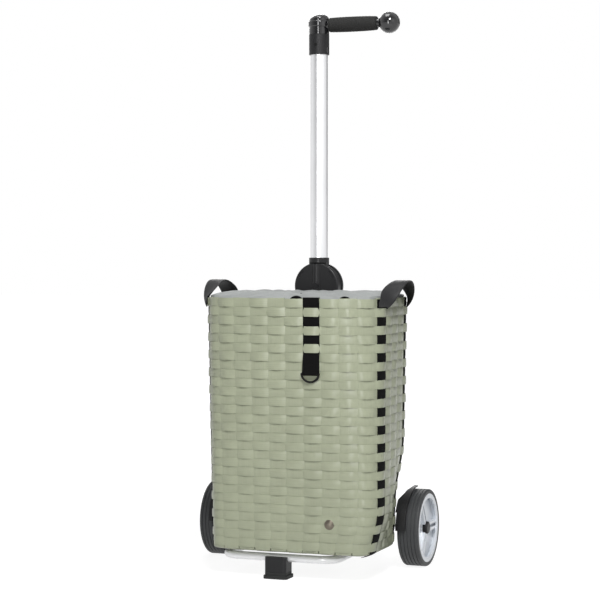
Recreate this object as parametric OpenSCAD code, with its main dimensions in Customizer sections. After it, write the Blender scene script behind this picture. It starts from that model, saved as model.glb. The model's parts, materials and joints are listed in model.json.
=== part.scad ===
// Two-wheeled shopping trolley: a woven strap basket carried on a single folding pole.
// Millimetres, +Z up. The basket's front faces -Y and the floor is z = 0.
// The origin is the middle of the footprint, on the floor.

/* [Wheels and axle] */
// Outer diameter of a wheel
wheel_d = 150; // [136:1:164]
// Width of a tyre
tyre_w = 42; // [36:1:48]
// Thickness of a tyre from the tread to the rim
tyre_t = 8; // [7:0.5:12]
// Distance between the middles of the two tyres
track = 414; // [412:1:450]
// Diameter of the axle
axle_d = 12; // [10:0.5:13]
// Diameter of a wheel's hub
wheel_hub_d = 32; // [28:1:38]
// Thickness of a wheel's rim
rim_t = 4; // [3:0.5:6]
// Spokes of a wheel
spoke_count = 3; // [3:1:6]
// Width of one rib of a double-rib spoke
spoke_rib_w = 6; // [4:0.5:8]
// Groove between the two ribs of a spoke
spoke_groove = 6; // [4:0.5:10]
// Diameter of the cap on an axle end
axle_cap_d = 24; // [20:1:28]
// Width of a wheel guard across the tyre
guard_w = 22; // [16:1:28]
// Thickness of a wheel guard
guard_t = 3; // [2:0.5:4]
// Air between a tyre and its guard
guard_gap = 4; // [3:0.5:6]

/* [Pole and fold joint] */
// Diameter of the pole
pole_d = 34; // [30:1:36]
// Wall of the pole
pole_wall = 1.6; // [1:0.1:2.5]
// Height of the fold joint's axis
joint_z = 546; // [540:1:570]
// Diameter of the fold joint's discs
joint_d = 92; // [86:1:100]
// Thickness of the fold joint
joint_w = 35; // [33:0.5:40]
// Thickness of one cheek of the fold joint
cheek_t = 8.5; // [7:0.5:9]
// Width of the upright rib on the front cheek
rib_w = 18; // [16:1:22]
// Height of that rib above the cheek
rib_h = 4.5; // [3:0.5:6]
// Outer diameter of the collars that hold the pole
collar_d = 40; // [39:0.5:44]
// Height of the collar above the joint
collar_h = 10; // [8:0.5:14]
// Length of the plug inside the upper pole
plug_h = 34; // [24:1:50]
// Height of the lower pole's socket
socket_h = 40; // [30:1:50]
// Diameter of the joint's pivot sleeve
pivot_d = 22; // [20:0.5:26]
// Diameter of the release button
button_d = 13; // [11:0.5:14]
// Travel of the release button
button_travel = 3; // [2:0.5:4]

/* [Handle] */
// Height of the grip's axis
grip_z = 1062; // [1000:1:1100]
// Height of the sleeve at the top of the pole
sleeve_h = 40; // [34:1:50]
// Diameter of the swivel hub
swivel_d = 43; // [41:0.5:48]
// Diameter of the hub's swivel pin
pin_d = 16; // [14:0.5:18]
// Height of the hub's domed cap
cap_h = 14; // [10:0.5:18]
// Length of the foam grip
grip_l = 100; // [90:1:120]
// Diameter of the foam grip at its middle
grip_d = 30.5; // [28:0.5:34]
// How much slimmer the grip is at its hub end
grip_taper = 4; // [2:0.5:6]
// Diameter of the rod inside the grip
rod_d = 12; // [10:0.5:14]
// Diameter of the ball at the grip's end
ball_d = 42; // [36:1:48]
// Width of the ring between the grip and the ball
ring_w = 4.5; // [3:0.5:6]

/* [Base] */
// Diameter of the base loop's tube
loop_d = 15; // [13:0.5:17]
// Wall of the base loop's tube
loop_wall = 1.5; // [1:0.1:2.5]
// Distance between the two legs of the base loop
loop_w = 224; // [200:2:240]
// Reach of the base loop in front of the pole
loop_reach = 224; // [210:1:230]
// Bend radius of the base loop
loop_bend = 30; // [24:1:40]
// Width of the foot
foot_w = 43; // [38:1:50]
// Depth of the foot from front to back
foot_l = 38; // [34:1:44]
// Thickness of the foot's rubber sole
sole_t = 12; // [8:0.5:14]

/* [Basket] */
// Width of the basket at its rim
basket_w = 356; // [320:1:356]
// Depth of the basket at its rim
basket_d = 230; // [230:1:266]
// Distance that the basket hangs to the right of the pole
basket_x = 25; // [0:1:28]
// Squareness of the basket's plan, 2 for an ellipse and more for squarer
corner_n = 4; // [4:0.1:6]
// Height of the basket's rim
rim_z = 527; // [505:1:530]
// Height of the underside of the basket
base_z = 58; // [54:1:66]
// Height of the base tray under the woven wall
base_drop = 12; // [10:1:14]
// Size of the basket's plan at its base, as a share of the rim
base_scale = 0.9; // [0.88:0.01:1]
// Upright stakes round the wall
stakes = 30; // [30:2:30]
// Rows of weavers, with the rim as the top one
rows = 28; // [26:1:29]
// Width of a stake
stake_w = 29; // [26:0.5:30]
// Thickness of the woven straps
strap_t = 1; // [0.8:0.1:1.2]
// Slit between two rows
row_gap = 1.6; // [1.4:0.1:2]
// Thickness of the black webbing
webbing_t = 0.8; // [0.6:0.1:1]
// Width of the front webbing
front_webbing_w = 27; // [20:0.5:30]
// Width of the side webbing
side_webbing_w = 24; // [18:0.5:30]
// Diameter of the wire of the D-ring
ring_wire = 4; // [3:0.5:5]
// Height of the D-ring's arch below its bar
ring_drop = 15; // [13:0.5:18]
// Diameter of the stud
stud_d = 20; // [16:0.5:24]
// Height of the stud's dome
stud_h = 3.5; // [2.5:0.5:5]
// Thickness of the base board
board_t = 3; // [2:0.5:5]

/* [Loop handles and liner] */
// Width of a loop handle's band
band_w = 26; // [20:1:28]
// Thickness of that band
band_t = 3; // [2:0.25:4]
// Rise of a loop handle above the rim
band_rise = 38; // [30:1:50]
// Outward lean of a loop handle at its top
band_lean = 6; // [0:1:10]
// Thickness of the liner
liner_t = 2; // [1.5:0.25:3]
// Rise of the liner's gathered top above the rim
liner_rise = 14; // [8:1:20]
// Width of the liner's mouth
mouth_w = 200; // [150:5:220]
// Depth of the liner's mouth from front to back
mouth_d = 110; // [80:2:120]
// Folds round the liner's gathered top
liner_folds = 18; // [12:1:24]
// Diameter of the drawstring hem
hem_d = 7; // [5:0.5:9]
// Height of a strap that ties the basket to the pole
tie_h = 28; // [20:1:36]

/* [Hidden] */
$fn = 64;

// Clearances
seat = 0.3;        // between two pieces that lie on each other
fit = 0.05;        // radial, a pin or tube in its bore
weave_gap = 0.38;  // between a stake and the weaver that crosses it
eps = 1;           // overshoot of a cut

// Derived sizes of the wheels and the base
wheel_r = wheel_d / 2;
axle_z = wheel_r;
axle_r = axle_d / 2;
tyre_x = track / 2;
tyre_rim_r = wheel_r - tyre_t;
hub_in = tyre_w / 2 - 2;
hub_out = tyre_w / 2 - 9;
bush_wall = 2;
bush_flange = 1.5;
core_w = tyre_w - 1;
panel_depth = 9;     // from the outer face to a panel between spokes
flange_w = 5;
flange_t = 3;
web_t = 5;
spoke_back = 2.5;    // from the outer face to a spoke
cap_in = hub_out + bush_flange + seat;
axle_half = tyre_x + tyre_w / 2 - 3;
guard_r = wheel_r + guard_gap;
guard_plate_t = 2;   // the plate beside the tyre
guard_side_gap = 1.2;
guard_x = tyre_x - tyre_w / 2 - guard_side_gap - guard_plate_t;
bracket_r = pole_d / 2 + 5;
bracket_half = 34;
bracket_foot = 14;   // below the axle
bracket_fin_t = 8;
bracket_fin_h = 34;
boss_wall = 9;
collar_lip = 2.5;
bracket_top = axle_z + 58;
pole_foot_z = axle_z + axle_r + 12;
bolt_z = (pole_foot_z + bracket_top) / 2 + 4;
bolt_d = 6;
loop_z = base_z - base_drop - seat - loop_d / 2;
loop_tail = 8;
clamp_w = 24;
clamp_depth = 18;
clamp_grip = 14;
clamp_wall = 6;
foot_top = loop_z + loop_d / 6;
sole_lip = 2.5;

// Derived sizes of the joint and the handle
joint_r = joint_d / 2;
knuckle_t = joint_w - 2 * cheek_t - 2 * seat;
knuckle_r = joint_r - 2;
neck_w = 24;
socket_z = joint_z - joint_r - 26;
lower_top_z = socket_z - 2;
upper_foot_z = joint_z + joint_r + 1.5;
sleeve_top_z = grip_z - 18;
sleeve_roof = 8;
upper_top_z = sleeve_top_z - sleeve_roof - seat;
hub_z = sleeve_top_z + seat;
hub_top_z = grip_z + 10;
pin_top_z = hub_top_z - 2;
grip_x = swivel_d / 2 + seat;
grip_end_x = grip_x + grip_l;
ball_face_x = grip_end_x + ring_w + 2 * seat;
ball_x = ball_face_x + sqrt(pow(ball_d / 2, 2) - pow(rod_d / 2 + 3, 2));
rod_end_x = ball_x - 4;
button_r = button_d / 2;
button_back = -joint_w / 2 + cheek_t - 2;
button_front = -joint_w / 2 - rib_h - 2;
sleeve_floor = 2;
pivot_rear = joint_w / 2 - 3;

// The wall's plan: a superellipse, read by its arc length from the middle of the front
arc_steps = 720;
function plan_r(th) = pow(pow(abs(cos(th)) / (basket_w / 2), corner_n)
    + pow(abs(sin(th)) / (basket_d / 2), corner_n), -1 / corner_n);
function plan_pt(th) = plan_r(th) * [cos(th), sin(th)];
function step_th(i) = -90 + 360 * i / arc_steps;
arc = [for (i = 0, s = 0; i <= arc_steps;
    s = s + norm(plan_pt(step_th(i + 1)) - plan_pt(step_th(i))), i = i + 1) [s, step_th(i)]];
pitch = arc[arc_steps][0] / stakes;
function unit(v) = v / norm(v);
function power(v, p) = sign(v) * pow(abs(v), p);
stake_pt = [for (i = [0:stakes - 1]) plan_pt(lookup((i + 0.5) * pitch, arc))];
stake_out = [for (p = stake_pt) unit([power(p.x, corner_n - 1) / pow(basket_w / 2, corner_n),
    power(p.y, corner_n - 1) / pow(basket_d / 2, corner_n)])];
stake_along = [for (n = stake_out) [-n.y, n.x]];

// Stakes that carry webbing: one on the front, two on each side
front_i = 1;
side_i = [5, 9];
function opposite(i) = stakes - 1 - i;
webbed = concat([front_i], side_i, [for (i = side_i) opposite(i)]);
function is_webbed(i) = len(search(i, webbed)) > 0;

// Offsets from the middle plane of the stakes, outwards
webbing_in = strap_t / 2 + seat;
webbing_out = webbing_in + webbing_t;
over = [for (i = [0:stakes - 1]) (is_webbed(i) ? webbing_out : strap_t / 2) + weave_gap + strap_t / 2];
under = [for (i = [0:stakes - 1]) -(strap_t / 2 + weave_gap + strap_t / 2)];
wall_in = strap_t / 2 + weave_gap + strap_t;
wall_out = webbing_out + weave_gap + strap_t;
row_h = (rim_z - base_z) / rows;
rim_cap = 1.2;
function grow(z) = base_scale + (1 - base_scale) * (z - base_z) / (rim_z - base_z);

// Places along the line from the front to the back
basket_back = joint_w / 2 + rib_h + wall_out + 2;
tab_in = wall_out + seat;
ring_loop_r = ring_wire / 2 + fit + webbing_t;
ring_out = tab_in + ring_loop_r;
ring_rows = 8.3;
ring_z = rim_z - ring_rows * row_h;
ring_half = front_webbing_w / 2 + ring_wire / 2 + 1.5;
ring_mid = grow(ring_z) * stake_pt[front_i] + ring_out * stake_out[front_i];
ring_front = -ring_mid.y + front_webbing_w / 2 * abs(stake_along[front_i].y) + ring_loop_r;
front_reach = basket_back + basket_d / 2 + ring_front;
pole_y = (front_reach - wheel_r) / 2;
basket_y = pole_y - basket_back - basket_d / 2;
loop_y = pole_y - loop_reach;

// Colours
sage = [0.66, 0.69, 0.57];
black = [0.10, 0.10, 0.11];
charcoal = [0.20, 0.20, 0.21];
silver = [0.82, 0.83, 0.85];
steel = [0.70, 0.71, 0.73];
grey_cloth = [0.66, 0.67, 0.69];

// Helpers
module along_x(x) {
    translate([x, 0, 0]) rotate([0, 90, 0]) children();
}

module along_y(y) {
    translate([0, y, 0]) rotate([-90, 0, 0]) children();
}

module tube(d, wall, h) {
    difference() {
        cylinder(d = d, h = h);
        translate([0, 0, -eps]) cylinder(d = d - 2 * wall, h = h + 2 * eps);
    }
}

module rounded(w, l, r) {
    square([w - 2 * r, l], center = true);
    square([w, l - 2 * r], center = true);
    for (sx = [-1, 1], sy = [-1, 1]) translate([sx * (w / 2 - r), sy * (l / 2 - r)]) circle(r);
}

module at_pole(z) {
    translate([0, pole_y, z]) children();
}

module at_wheel(side) {
    translate([side * tyre_x, pole_y, axle_z]) mirror([side < 0 ? 1 : 0, 0, 0]) children();
}

// Pole, bracket, axle and base
module lower_pole() color(silver) at_pole(pole_foot_z) difference() {
    tube(pole_d, pole_wall, lower_top_z - pole_foot_z);
    translate([0, 0, bolt_z - pole_foot_z]) along_x(-pole_d) cylinder(d = bolt_d + 2 * fit, h = 2 * pole_d);
    for (z = socket_screw_z) translate([0, 0, z - pole_foot_z]) along_y(-pole_d)
        cylinder(d = screw_d + 2 * fit, h = 2 * pole_d);
}

module pole_bracket() color(black) at_pole(0) difference() {
    union() {
        translate([0, 0, axle_z - axle_r - bracket_foot])
            cylinder(r = bracket_r, h = bracket_top - axle_z + axle_r + bracket_foot);
        translate([0, 0, bracket_top - bracket_fin_t])
            cylinder(r = bracket_r + collar_lip, h = bracket_fin_t);
        translate([0, 0, axle_z]) along_x(-bracket_half)
            cylinder(r = axle_r + boss_wall, h = 2 * bracket_half);
        translate([-bracket_half, -bracket_fin_t / 2, axle_z])
            cube([2 * bracket_half, bracket_fin_t, bracket_fin_h]);
    }
    translate([0, 0, pole_foot_z - seat]) cylinder(d = pole_d + 2 * fit, h = bracket_top);
    translate([0, 0, axle_z]) along_x(-2 * bracket_half) cylinder(r = axle_r + fit, h = 4 * bracket_half);
    translate([0, 0, bolt_z]) along_x(-2 * bracket_r) cylinder(d = bolt_d + 2 * fit, h = 4 * bracket_r);
}

module bracket_bolt() color(steel) at_pole(bolt_z) {
    along_x(-bracket_r - seat - 4) cylinder(d = 11, h = 4);
    along_x(-bracket_r - seat - 1) cylinder(d = bolt_d, h = 2 * bracket_r + 2 * seat + 7);
    difference() {
        along_x(bracket_r + seat) cylinder(d = 12, h = 5, $fn = 6);
        along_x(bracket_r) cylinder(d = bolt_d - 1, h = 8);
    }
}

module axle() color(steel) at_pole(axle_z) along_x(-axle_half) cylinder(r = axle_r, h = 2 * axle_half);

module loop_rod(d) {
    half = loop_w / 2;
    for (side = [-1, 1]) {
        translate([side * half, -loop_reach + loop_bend, 0]) rotate([-90, 0, 0])
            cylinder(d = d, h = loop_reach - loop_bend + loop_tail);
        translate([side * (half - loop_bend), -loop_reach + loop_bend, 0])
            rotate([0, 0, side > 0 ? -90 : 180]) rotate_extrude(angle = 90)
                translate([loop_bend, 0]) circle(d = d);
    }
    translate([-half + loop_bend, -loop_reach, 0]) rotate([0, 90, 0])
        cylinder(d = d, h = loop_w - 2 * loop_bend);
}

module base_loop() color(silver) at_pole(loop_z) difference() {
    loop_rod(loop_d);
    loop_rod(loop_d - 2 * loop_wall);
}

module loop_clamps() color(black) for (side = [-1, 1])
    translate([side * loop_w / 2, pole_y, 0]) difference() {
    union() {
        translate([0, 0, axle_z]) along_x(-clamp_w / 2) cylinder(r = axle_r + clamp_wall, h = clamp_w);
        translate([0, 0, (loop_z + axle_z) / 2])
            cube([clamp_w, clamp_depth, axle_z - loop_z], center = true);
        translate([0, 0, loop_z]) along_y(-clamp_grip) cylinder(d = clamp_w, h = clamp_grip + loop_tail + 4);
    }
    translate([0, 0, axle_z]) along_x(-clamp_w) cylinder(r = axle_r + fit, h = 2 * clamp_w);
    translate([0, 0, loop_z]) along_y(-clamp_grip - eps)
        cylinder(d = loop_d + 2 * fit, h = clamp_grip + eps + loop_tail + seat);
}

peg_in = 14;
peg_z = 4;
module foot_block() color(black) translate([0, loop_y, 0]) difference() {
    union() {
        translate([0, 0, sole_t + seat]) linear_extrude(foot_top - sole_t - seat) rounded(foot_w, foot_l, 6);
        translate([0, 0, peg_z]) linear_extrude(sole_t) rounded(foot_w - peg_in, foot_l - peg_in, 4);
    }
    translate([0, 0, loop_z]) along_x(-foot_w) cylinder(d = loop_d + 2 * fit, h = 2 * foot_w);
}

module foot_sole() color(charcoal) translate([0, loop_y, 0]) difference() {
    union() {
        linear_extrude(sole_t / 2) rounded(foot_w + 2 * sole_lip, foot_l + 2 * sole_lip, 7);
        linear_extrude(sole_t) rounded(foot_w, foot_l, 6);
    }
    translate([0, 0, peg_z - seat]) linear_extrude(sole_t)
        rounded(foot_w - peg_in + 2 * fit, foot_l - peg_in + 2 * fit, 4);
}

// Wheels, guards and caps, drawn for the right side about the middle of the tyre
guard_boss_r = axle_r + 6;
guard_arm_w = 12;
guard_arm_turn = 142;
guard_root_w = 30;
module guard_arm() difference() {
    union() {
        circle(guard_boss_r);
        rotate(guard_arm_turn) translate([0, -guard_arm_w / 2]) square([guard_r, guard_arm_w]);
        intersection() {
            circle(guard_r + guard_t);
            rotate(guard_arm_turn) translate([guard_r - guard_arm_w, -guard_root_w / 2])
                square([2 * guard_arm_w, guard_root_w]);
        }
    }
    circle(axle_r + fit);
}

// A quarter ring from just past the top of the tyre down to its front
guard_turn = 88;
module guard_ring() difference() {
    circle(guard_r + guard_t);
    circle(guard_r);
    rotate(guard_turn - 90) square(2 * guard_r);
    rotate(guard_turn + 90) square(2 * guard_r);
    rotate(guard_turn + 180) square(2 * guard_r);
}

// The ring narrows to a tip at the top and stands clear of the basket below the arm
guard_tip_w = 5;
guard_full_z = 60;
guard_relief = 2.6;
guard_relief_z = 37;
guard_relief_y = 60;
module guard() difference() {
    near = guard_x - tyre_x;
    top = guard_r + guard_t + eps;
    rotate([90, 0, 90]) translate([0, 0, near]) {
        linear_extrude(guard_plate_t) guard_arm();
        linear_extrude(guard_w) guard_ring();
    }
    translate([0, guard_r, 0]) rotate([90, 0, 0]) linear_extrude(3 * guard_r)
        polygon([[near - eps, guard_full_z], [near, guard_full_z], [near + guard_w - guard_tip_w, top],
            [near - eps, top]]);
    translate([near - eps, -2 * guard_r, -guard_r])
        cube([guard_relief + eps, 2 * guard_r - guard_relief_y, guard_r + guard_relief_z]);
}

module guard_left() color(black) at_wheel(-1) guard();
module guard_right() color(black) at_wheel(1) guard();

module axle_caps() color(black) for (side = [-1, 1]) at_wheel(side) along_x(cap_in) rotate_extrude()
    difference() {
        union() {
            square([axle_cap_d / 2, tyre_w / 2 - cap_in - 3]);
            square([axle_cap_d / 2 - 3, tyre_w / 2 - cap_in]);
            translate([axle_cap_d / 2 - 3, tyre_w / 2 - cap_in - 3]) circle(3);
        }
        translate([0, -eps]) square([axle_r + fit, axle_half - tyre_x - cap_in + eps + seat]);
        translate([-axle_cap_d, -axle_cap_d]) square([axle_cap_d, 3 * axle_cap_d]);
    }

module wheel_core() {
    rim_in = tyre_rim_r - rim_t - seat;
    panel_x = core_w / 2 - panel_depth - web_t;
    difference() {
        union() {
            along_x(0) rotate_extrude() {
                translate([rim_in, -core_w / 2]) square([rim_t, core_w]);
                for (face = [-core_w / 2, core_w / 2 - flange_t])
                    translate([rim_in - flange_w, face]) square([flange_w + eps, flange_t]);
                translate([wheel_hub_d / 2 - eps, panel_x])
                    square([rim_in - wheel_hub_d / 2 + 2 * eps, web_t]);
                translate([0, -hub_in]) square([wheel_hub_d / 2, hub_in + hub_out]);
            }
            for (k = [0:spoke_count - 1]) rotate([k * 360 / spoke_count - 90, 0, 0]) spoke(rim_in);
        }
        along_x(-tyre_w) cylinder(r = axle_r + fit + bush_wall + fit, h = 2 * tyre_w);
    }
}

module spoke(rim_in) {
    foot = wheel_hub_d / 2 - 2 * eps;
    for (s = [-1, 1]) translate([-hub_in, s * (spoke_groove + spoke_rib_w) / 2 - spoke_rib_w / 2, foot])
        cube([hub_in + core_w / 2 - spoke_back, spoke_rib_w, rim_in - foot]);
}

shoulder_r = 3.5;
tread_grooves = 5;
tread_groove_w = 1.8;
tread_groove_h = 1.2;
module tyre() along_x(0) rotate_extrude() difference() {
    union() {
        translate([tyre_rim_r, -tyre_w / 2]) square([tyre_t - shoulder_r, tyre_w]);
        translate([tyre_rim_r, -tyre_w / 2 + shoulder_r]) square([tyre_t, tyre_w - 2 * shoulder_r]);
        for (s = [-1, 1]) translate([wheel_r - shoulder_r, s * (tyre_w / 2 - shoulder_r)])
            circle(shoulder_r);
    }
    for (k = [1:tread_grooves])
        translate([wheel_r - tread_groove_h, (k / (tread_grooves + 1) - 0.5) * tyre_w - tread_groove_w / 2])
            square([2 * tread_groove_h, tread_groove_w]);
}

flange_in = 4;
module bushes() {
    for (end = [-hub_in, hub_out]) {
        dir = sign(end);
        along_x(end - (dir > 0 ? 12 : 0)) tube(2 * (axle_r + fit + bush_wall), bush_wall, 12);
        along_x(end + (dir > 0 ? 0 : -bush_flange))
            tube(wheel_hub_d - 2 * flange_in, wheel_hub_d / 2 - flange_in - axle_r - fit, bush_flange);
    }
}

module wheel_core_left() color(silver) at_wheel(-1) wheel_core();
module wheel_core_right() color(silver) at_wheel(1) wheel_core();
module tyre_left() color(charcoal) at_wheel(-1) tyre();
module tyre_right() color(charcoal) at_wheel(1) tyre();
module bushes_left() color(black) at_wheel(-1) bushes();
module bushes_right() color(black) at_wheel(1) bushes();

// Fold joint: two cheeks on the lower pole hold the knuckle of the upper pole
screw_d = 5;
socket_screw_z = [socket_z - socket_h * 0.3, socket_z - socket_h * 0.75];

cheek_edge = 3;
module cheek_disc() rotate_extrude() {
    square([joint_r - cheek_edge, cheek_t]);
    translate([0, cheek_edge]) square([joint_r, cheek_t - cheek_edge]);
    translate([joint_r - cheek_edge, cheek_edge]) circle(cheek_edge);
}

module cheek_body(front) {
    at_pole(joint_z) difference() {
        union() {
            along_y(-joint_w / 2) cheek_disc();
            translate([-neck_w / 2, -joint_w / 2, -joint_r - 30]) cube([neck_w, cheek_t, joint_r + 30]);
            translate([0, 0, socket_z - socket_h - joint_z]) cylinder(d = collar_d, h = socket_h);
            if (front) translate([0, -joint_w / 2 - rib_h + rib_w / 2, socket_z - joint_z - eps])
                cylinder(d = rib_w, h = joint_z - socket_z + joint_r - 3 + eps);
        }
        along_y(-joint_w / 2 + cheek_t) cylinder(r = joint_r + eps, h = 2 * joint_w);
        translate([-collar_d, -joint_w / 2 + cheek_t, socket_z - joint_z])
            cube([2 * collar_d, joint_w, joint_r]);
        translate([-collar_d, -seat / 2, socket_z - socket_h - joint_z - eps])
            cube([2 * collar_d, joint_w, 2 * socket_h]);
        translate([0, 0, socket_z - socket_h - joint_z - eps])
            cylinder(d = pole_d + 2 * fit, h = lower_top_z - socket_z + socket_h + eps + seat);
        for (z = socket_screw_z) translate([0, 0, z - joint_z]) along_y(-joint_w)
            cylinder(d = screw_d + 2 * fit, h = 2 * joint_w);
    }
}

module joint_front_cheek() color(charcoal) difference() {
    cheek_body(true);
    at_pole(joint_z) along_y(-joint_w / 2 + 2) cylinder(d = pivot_d + 2 * fit, h = joint_w);
    at_pole(joint_z) along_y(-joint_w) cylinder(r = button_r + fit, h = joint_w);
    for (side = [-1, 1]) at_pole(joint_z) rotate([90, 0, 0])
        translate([0, 0, joint_w / 2 - slot_depth]) linear_extrude(2 * slot_depth)
        arc_slot(side);
}

slot_in = 6;
slot_w = 4;
slot_l = 15;
slot_turn = 54;
slot_depth = 2;
module arc_slot(side) {
    middle = joint_r - slot_in;
    rotate(90 - side * slot_turn) intersection() {
        difference() {
            circle(middle + slot_w / 2);
            circle(middle - slot_w / 2);
        }
        translate([0, -slot_l / 2]) square([joint_r, slot_l]);
    }
}

module joint_rear_cheek() color(charcoal) difference() {
    translate([0, 2 * pole_y, 0]) mirror([0, 1, 0]) cheek_body(false);
    at_pole(joint_z) along_y(0) cylinder(d = pivot_d + 2 * fit, h = pivot_rear + seat);
}

module pivot_sleeve() color(steel) at_pole(joint_z) difference() {
    along_y(-joint_w / 2 + 2 + seat) cylinder(d = pivot_d, h = pivot_rear + joint_w / 2 - 2 - seat);
    along_y(-joint_w) cylinder(r = button_r + fit, h = joint_w + pivot_rear - sleeve_floor);
}

module release_button() color(black) at_pole(joint_z) along_y(button_front) {
    cylinder(r = button_r, h = button_back - button_front);
    cylinder(r = button_r - 3, h = button_back - button_front + 2);
}

module button_spring() color(steel) at_pole(joint_z) along_y(button_back + button_travel + seat)
    tube(button_d - 1, 1.2, pivot_rear - sleeve_floor - seat - button_back - button_travel - seat);

module socket_screws() color(steel) for (z = socket_screw_z) at_pole(z) {
    along_y(-collar_d / 2 - 3) cylinder(d = 9, h = 3 - seat);
    along_y(-collar_d / 2 - 1) cylinder(d = screw_d, h = collar_d + 1);
}

module joint_knuckle() color(charcoal) at_pole(joint_z) difference() {
    union() {
        along_y(-knuckle_t / 2) cylinder(r = knuckle_r, h = knuckle_t);
        translate([-neck_w / 2 - 6, -knuckle_t / 2, 0]) cube([neck_w + 12, knuckle_t, joint_r + 2]);
        translate([0, 0, joint_r + 0.5]) cylinder(d = collar_d, h = collar_h - 0.5);
        cylinder(d = pole_d - 2 * pole_wall - 2 * fit, h = joint_r + plug_h);
    }
    along_y(-joint_w) cylinder(d = pivot_d + 2 * fit, h = 2 * joint_w);
    translate([0, 0, upper_foot_z - seat - joint_z]) difference() {
        cylinder(d = pole_d + 2 * fit, h = collar_h);
        translate([0, 0, -eps]) cylinder(d = pole_d - 2 * pole_wall - 2 * fit, h = collar_h + 2 * eps);
    }
    for (s = [-1, 1]) translate([-pole_d, s * (joint_w / 2 + knuckle_t / 2) - joint_w / 2, -knuckle_r])
        cube([2 * pole_d, joint_w, knuckle_r + joint_r + 0.5]);
}

module upper_pole() color(silver) at_pole(upper_foot_z) tube(pole_d, pole_wall, upper_top_z - upper_foot_z);

// Handle
sleeve_foot_z = sleeve_top_z - sleeve_h;
sleeve_screw_z = sleeve_top_z - sleeve_h * 0.52;

window_h = 11;
window_w = 12;
window_foot = 3.5;
sleeve_screw_d = 3.5;
sleeve_screw_head = 5.5;
module pole_sleeve() color(black) at_pole(0) difference() {
    translate([0, 0, sleeve_foot_z]) cylinder(d = collar_d, h = sleeve_h);
    translate([0, 0, sleeve_foot_z - eps]) cylinder(d = pole_d + 2 * fit, h = sleeve_h - sleeve_roof + eps);
    translate([0, 0, sleeve_foot_z]) cylinder(d = pin_d + 2 * fit, h = 2 * sleeve_h);
    translate([pole_d / 2 - 2 * eps, -window_w / 2, sleeve_foot_z + window_foot])
        cube([collar_d, window_w, window_h]);
    translate([0, 0, sleeve_screw_z]) along_y(-collar_d / 2 - eps)
        cylinder(d = sleeve_screw_d + 2 * fit, h = collar_d / 2 - pole_d / 2 + eps);
}

module sleeve_screw() color(steel) at_pole(sleeve_screw_z) {
    along_y(-collar_d / 2 - 1.5) cylinder(d = sleeve_screw_head, h = 1.5 - seat / 3);
    along_y(-collar_d / 2 - 1) cylinder(d = sleeve_screw_d, h = collar_d / 2 - pole_d / 2 + 1 - seat);
}

module swivel_pin() color(steel) at_pole(0) {
    translate([0, 0, sleeve_top_z - sleeve_roof])
        cylinder(d = pin_d, h = pin_top_z - sleeve_top_z + sleeve_roof);
}

hub_ring_h = 11;
hub_disc_z = 14;
hub_edge = 3;
arm_wall = 7;

// Half of a flat disc with rounded edges, for a revolve
module rounded_side(r, h, edge) {
    square([r - edge, h]);
    translate([0, edge]) square([r, h - 2 * edge]);
    for (z = [edge, h - edge]) translate([r - edge, z]) circle(edge);
}

module swivel_hub() color(black) at_pole(0) difference() {
    union() {
        translate([0, 0, hub_z]) rotate_extrude() {
            square([swivel_d / 2 - 1.5, hub_ring_h]);
            square([swivel_d / 2 - 4, hub_disc_z + eps]);
            translate([0, hub_disc_z])
                rounded_side(swivel_d / 2, hub_top_z - hub_z - hub_disc_z - 1, hub_edge);
            square([swivel_d / 2 - 2, hub_top_z - hub_z]);
        }
        translate([0, 0, grip_z]) along_x(0) cylinder(d = rod_d + arm_wall, h = grip_x - seat);
    }
    translate([0, 0, hub_z - eps]) cylinder(d = pin_d + 2 * fit, h = pin_top_z + seat - hub_z + eps);
    translate([0, 0, grip_z]) along_x(pin_d / 2 + 0.8) cylinder(d = rod_d + 2 * fit, h = swivel_d);
}

cap_edge = 6.5;
module hub_cap() color(black) at_pole(hub_top_z + seat) rotate_extrude() {
    cap_r = swivel_d / 2 - 2;
    square([cap_r, cap_h - cap_edge]);
    square([cap_r - cap_edge, cap_h]);
    translate([cap_r - cap_edge, cap_h - cap_edge]) circle(cap_edge);
}

rod_root_x = pin_d / 2 + 1.2;
module grip_rod() color(steel) at_pole(grip_z) along_x(rod_root_x)
    cylinder(d = rod_d, h = rod_end_x - rod_root_x);

module foam_grip() color(charcoal) at_pole(grip_z) along_x(grip_x) rotate_extrude() difference() {
    intersection() {
        barrel_r = pow(grip_l * 0.62, 2) / grip_taper + grip_d / 2;
        translate([grip_d / 2 - barrel_r, grip_l * 0.58]) circle(barrel_r, $fn = 256);
        union() {
            translate([0, 3]) square([grip_d, grip_l - 6]);
            for (y = [3, grip_l - 3]) translate([grip_d / 2 - grip_taper / 2 - 3, y]) circle(3);
            square([grip_d / 2 - grip_taper / 2 - 3, grip_l]);
        }
    }
    translate([-grip_d, -eps]) square([grip_d + rod_d / 2 + fit, grip_l + 2 * eps]);
}

module grip_ring() color(black) at_pole(grip_z) along_x(grip_end_x + seat) difference() {
    cylinder(d = rod_d + 6, h = ring_w);
    translate([0, 0, -eps]) cylinder(d = rod_d + 2 * fit, h = ring_w + 2 * eps);
}

module ball_knob() color(black) at_pole(grip_z) along_x(ball_x) rotate_extrude() difference() {
    circle(d = ball_d);
    translate([-ball_d, -ball_d]) square([ball_d, 2 * ball_d]);
    translate([-eps, ball_face_x - ball_x - ball_d]) square([ball_d, ball_d]);
    translate([-eps, -ball_d]) square([eps + rod_d / 2 + fit, ball_d + rod_end_x + seat - ball_x]);
}

// Basket: flat stakes with closed weavers that pass over and under them in turn
function ring_pts(k, offsets, shift) = [for (i = [0:stakes - 1]) for (side = [-1, 1])
    k * stake_pt[i] + side * stake_w / 2 * stake_along[i] + (offsets[i] + shift) * stake_out[i]];

module at_basket(z) {
    translate([basket_x, basket_y, z]) children();
}

module ring_band(k, offsets, h) {
    linear_extrude(h) difference() {
        polygon(ring_pts(k, offsets, strap_t / 2));
        polygon(ring_pts(k, offsets, -strap_t / 2));
    }
}

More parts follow.
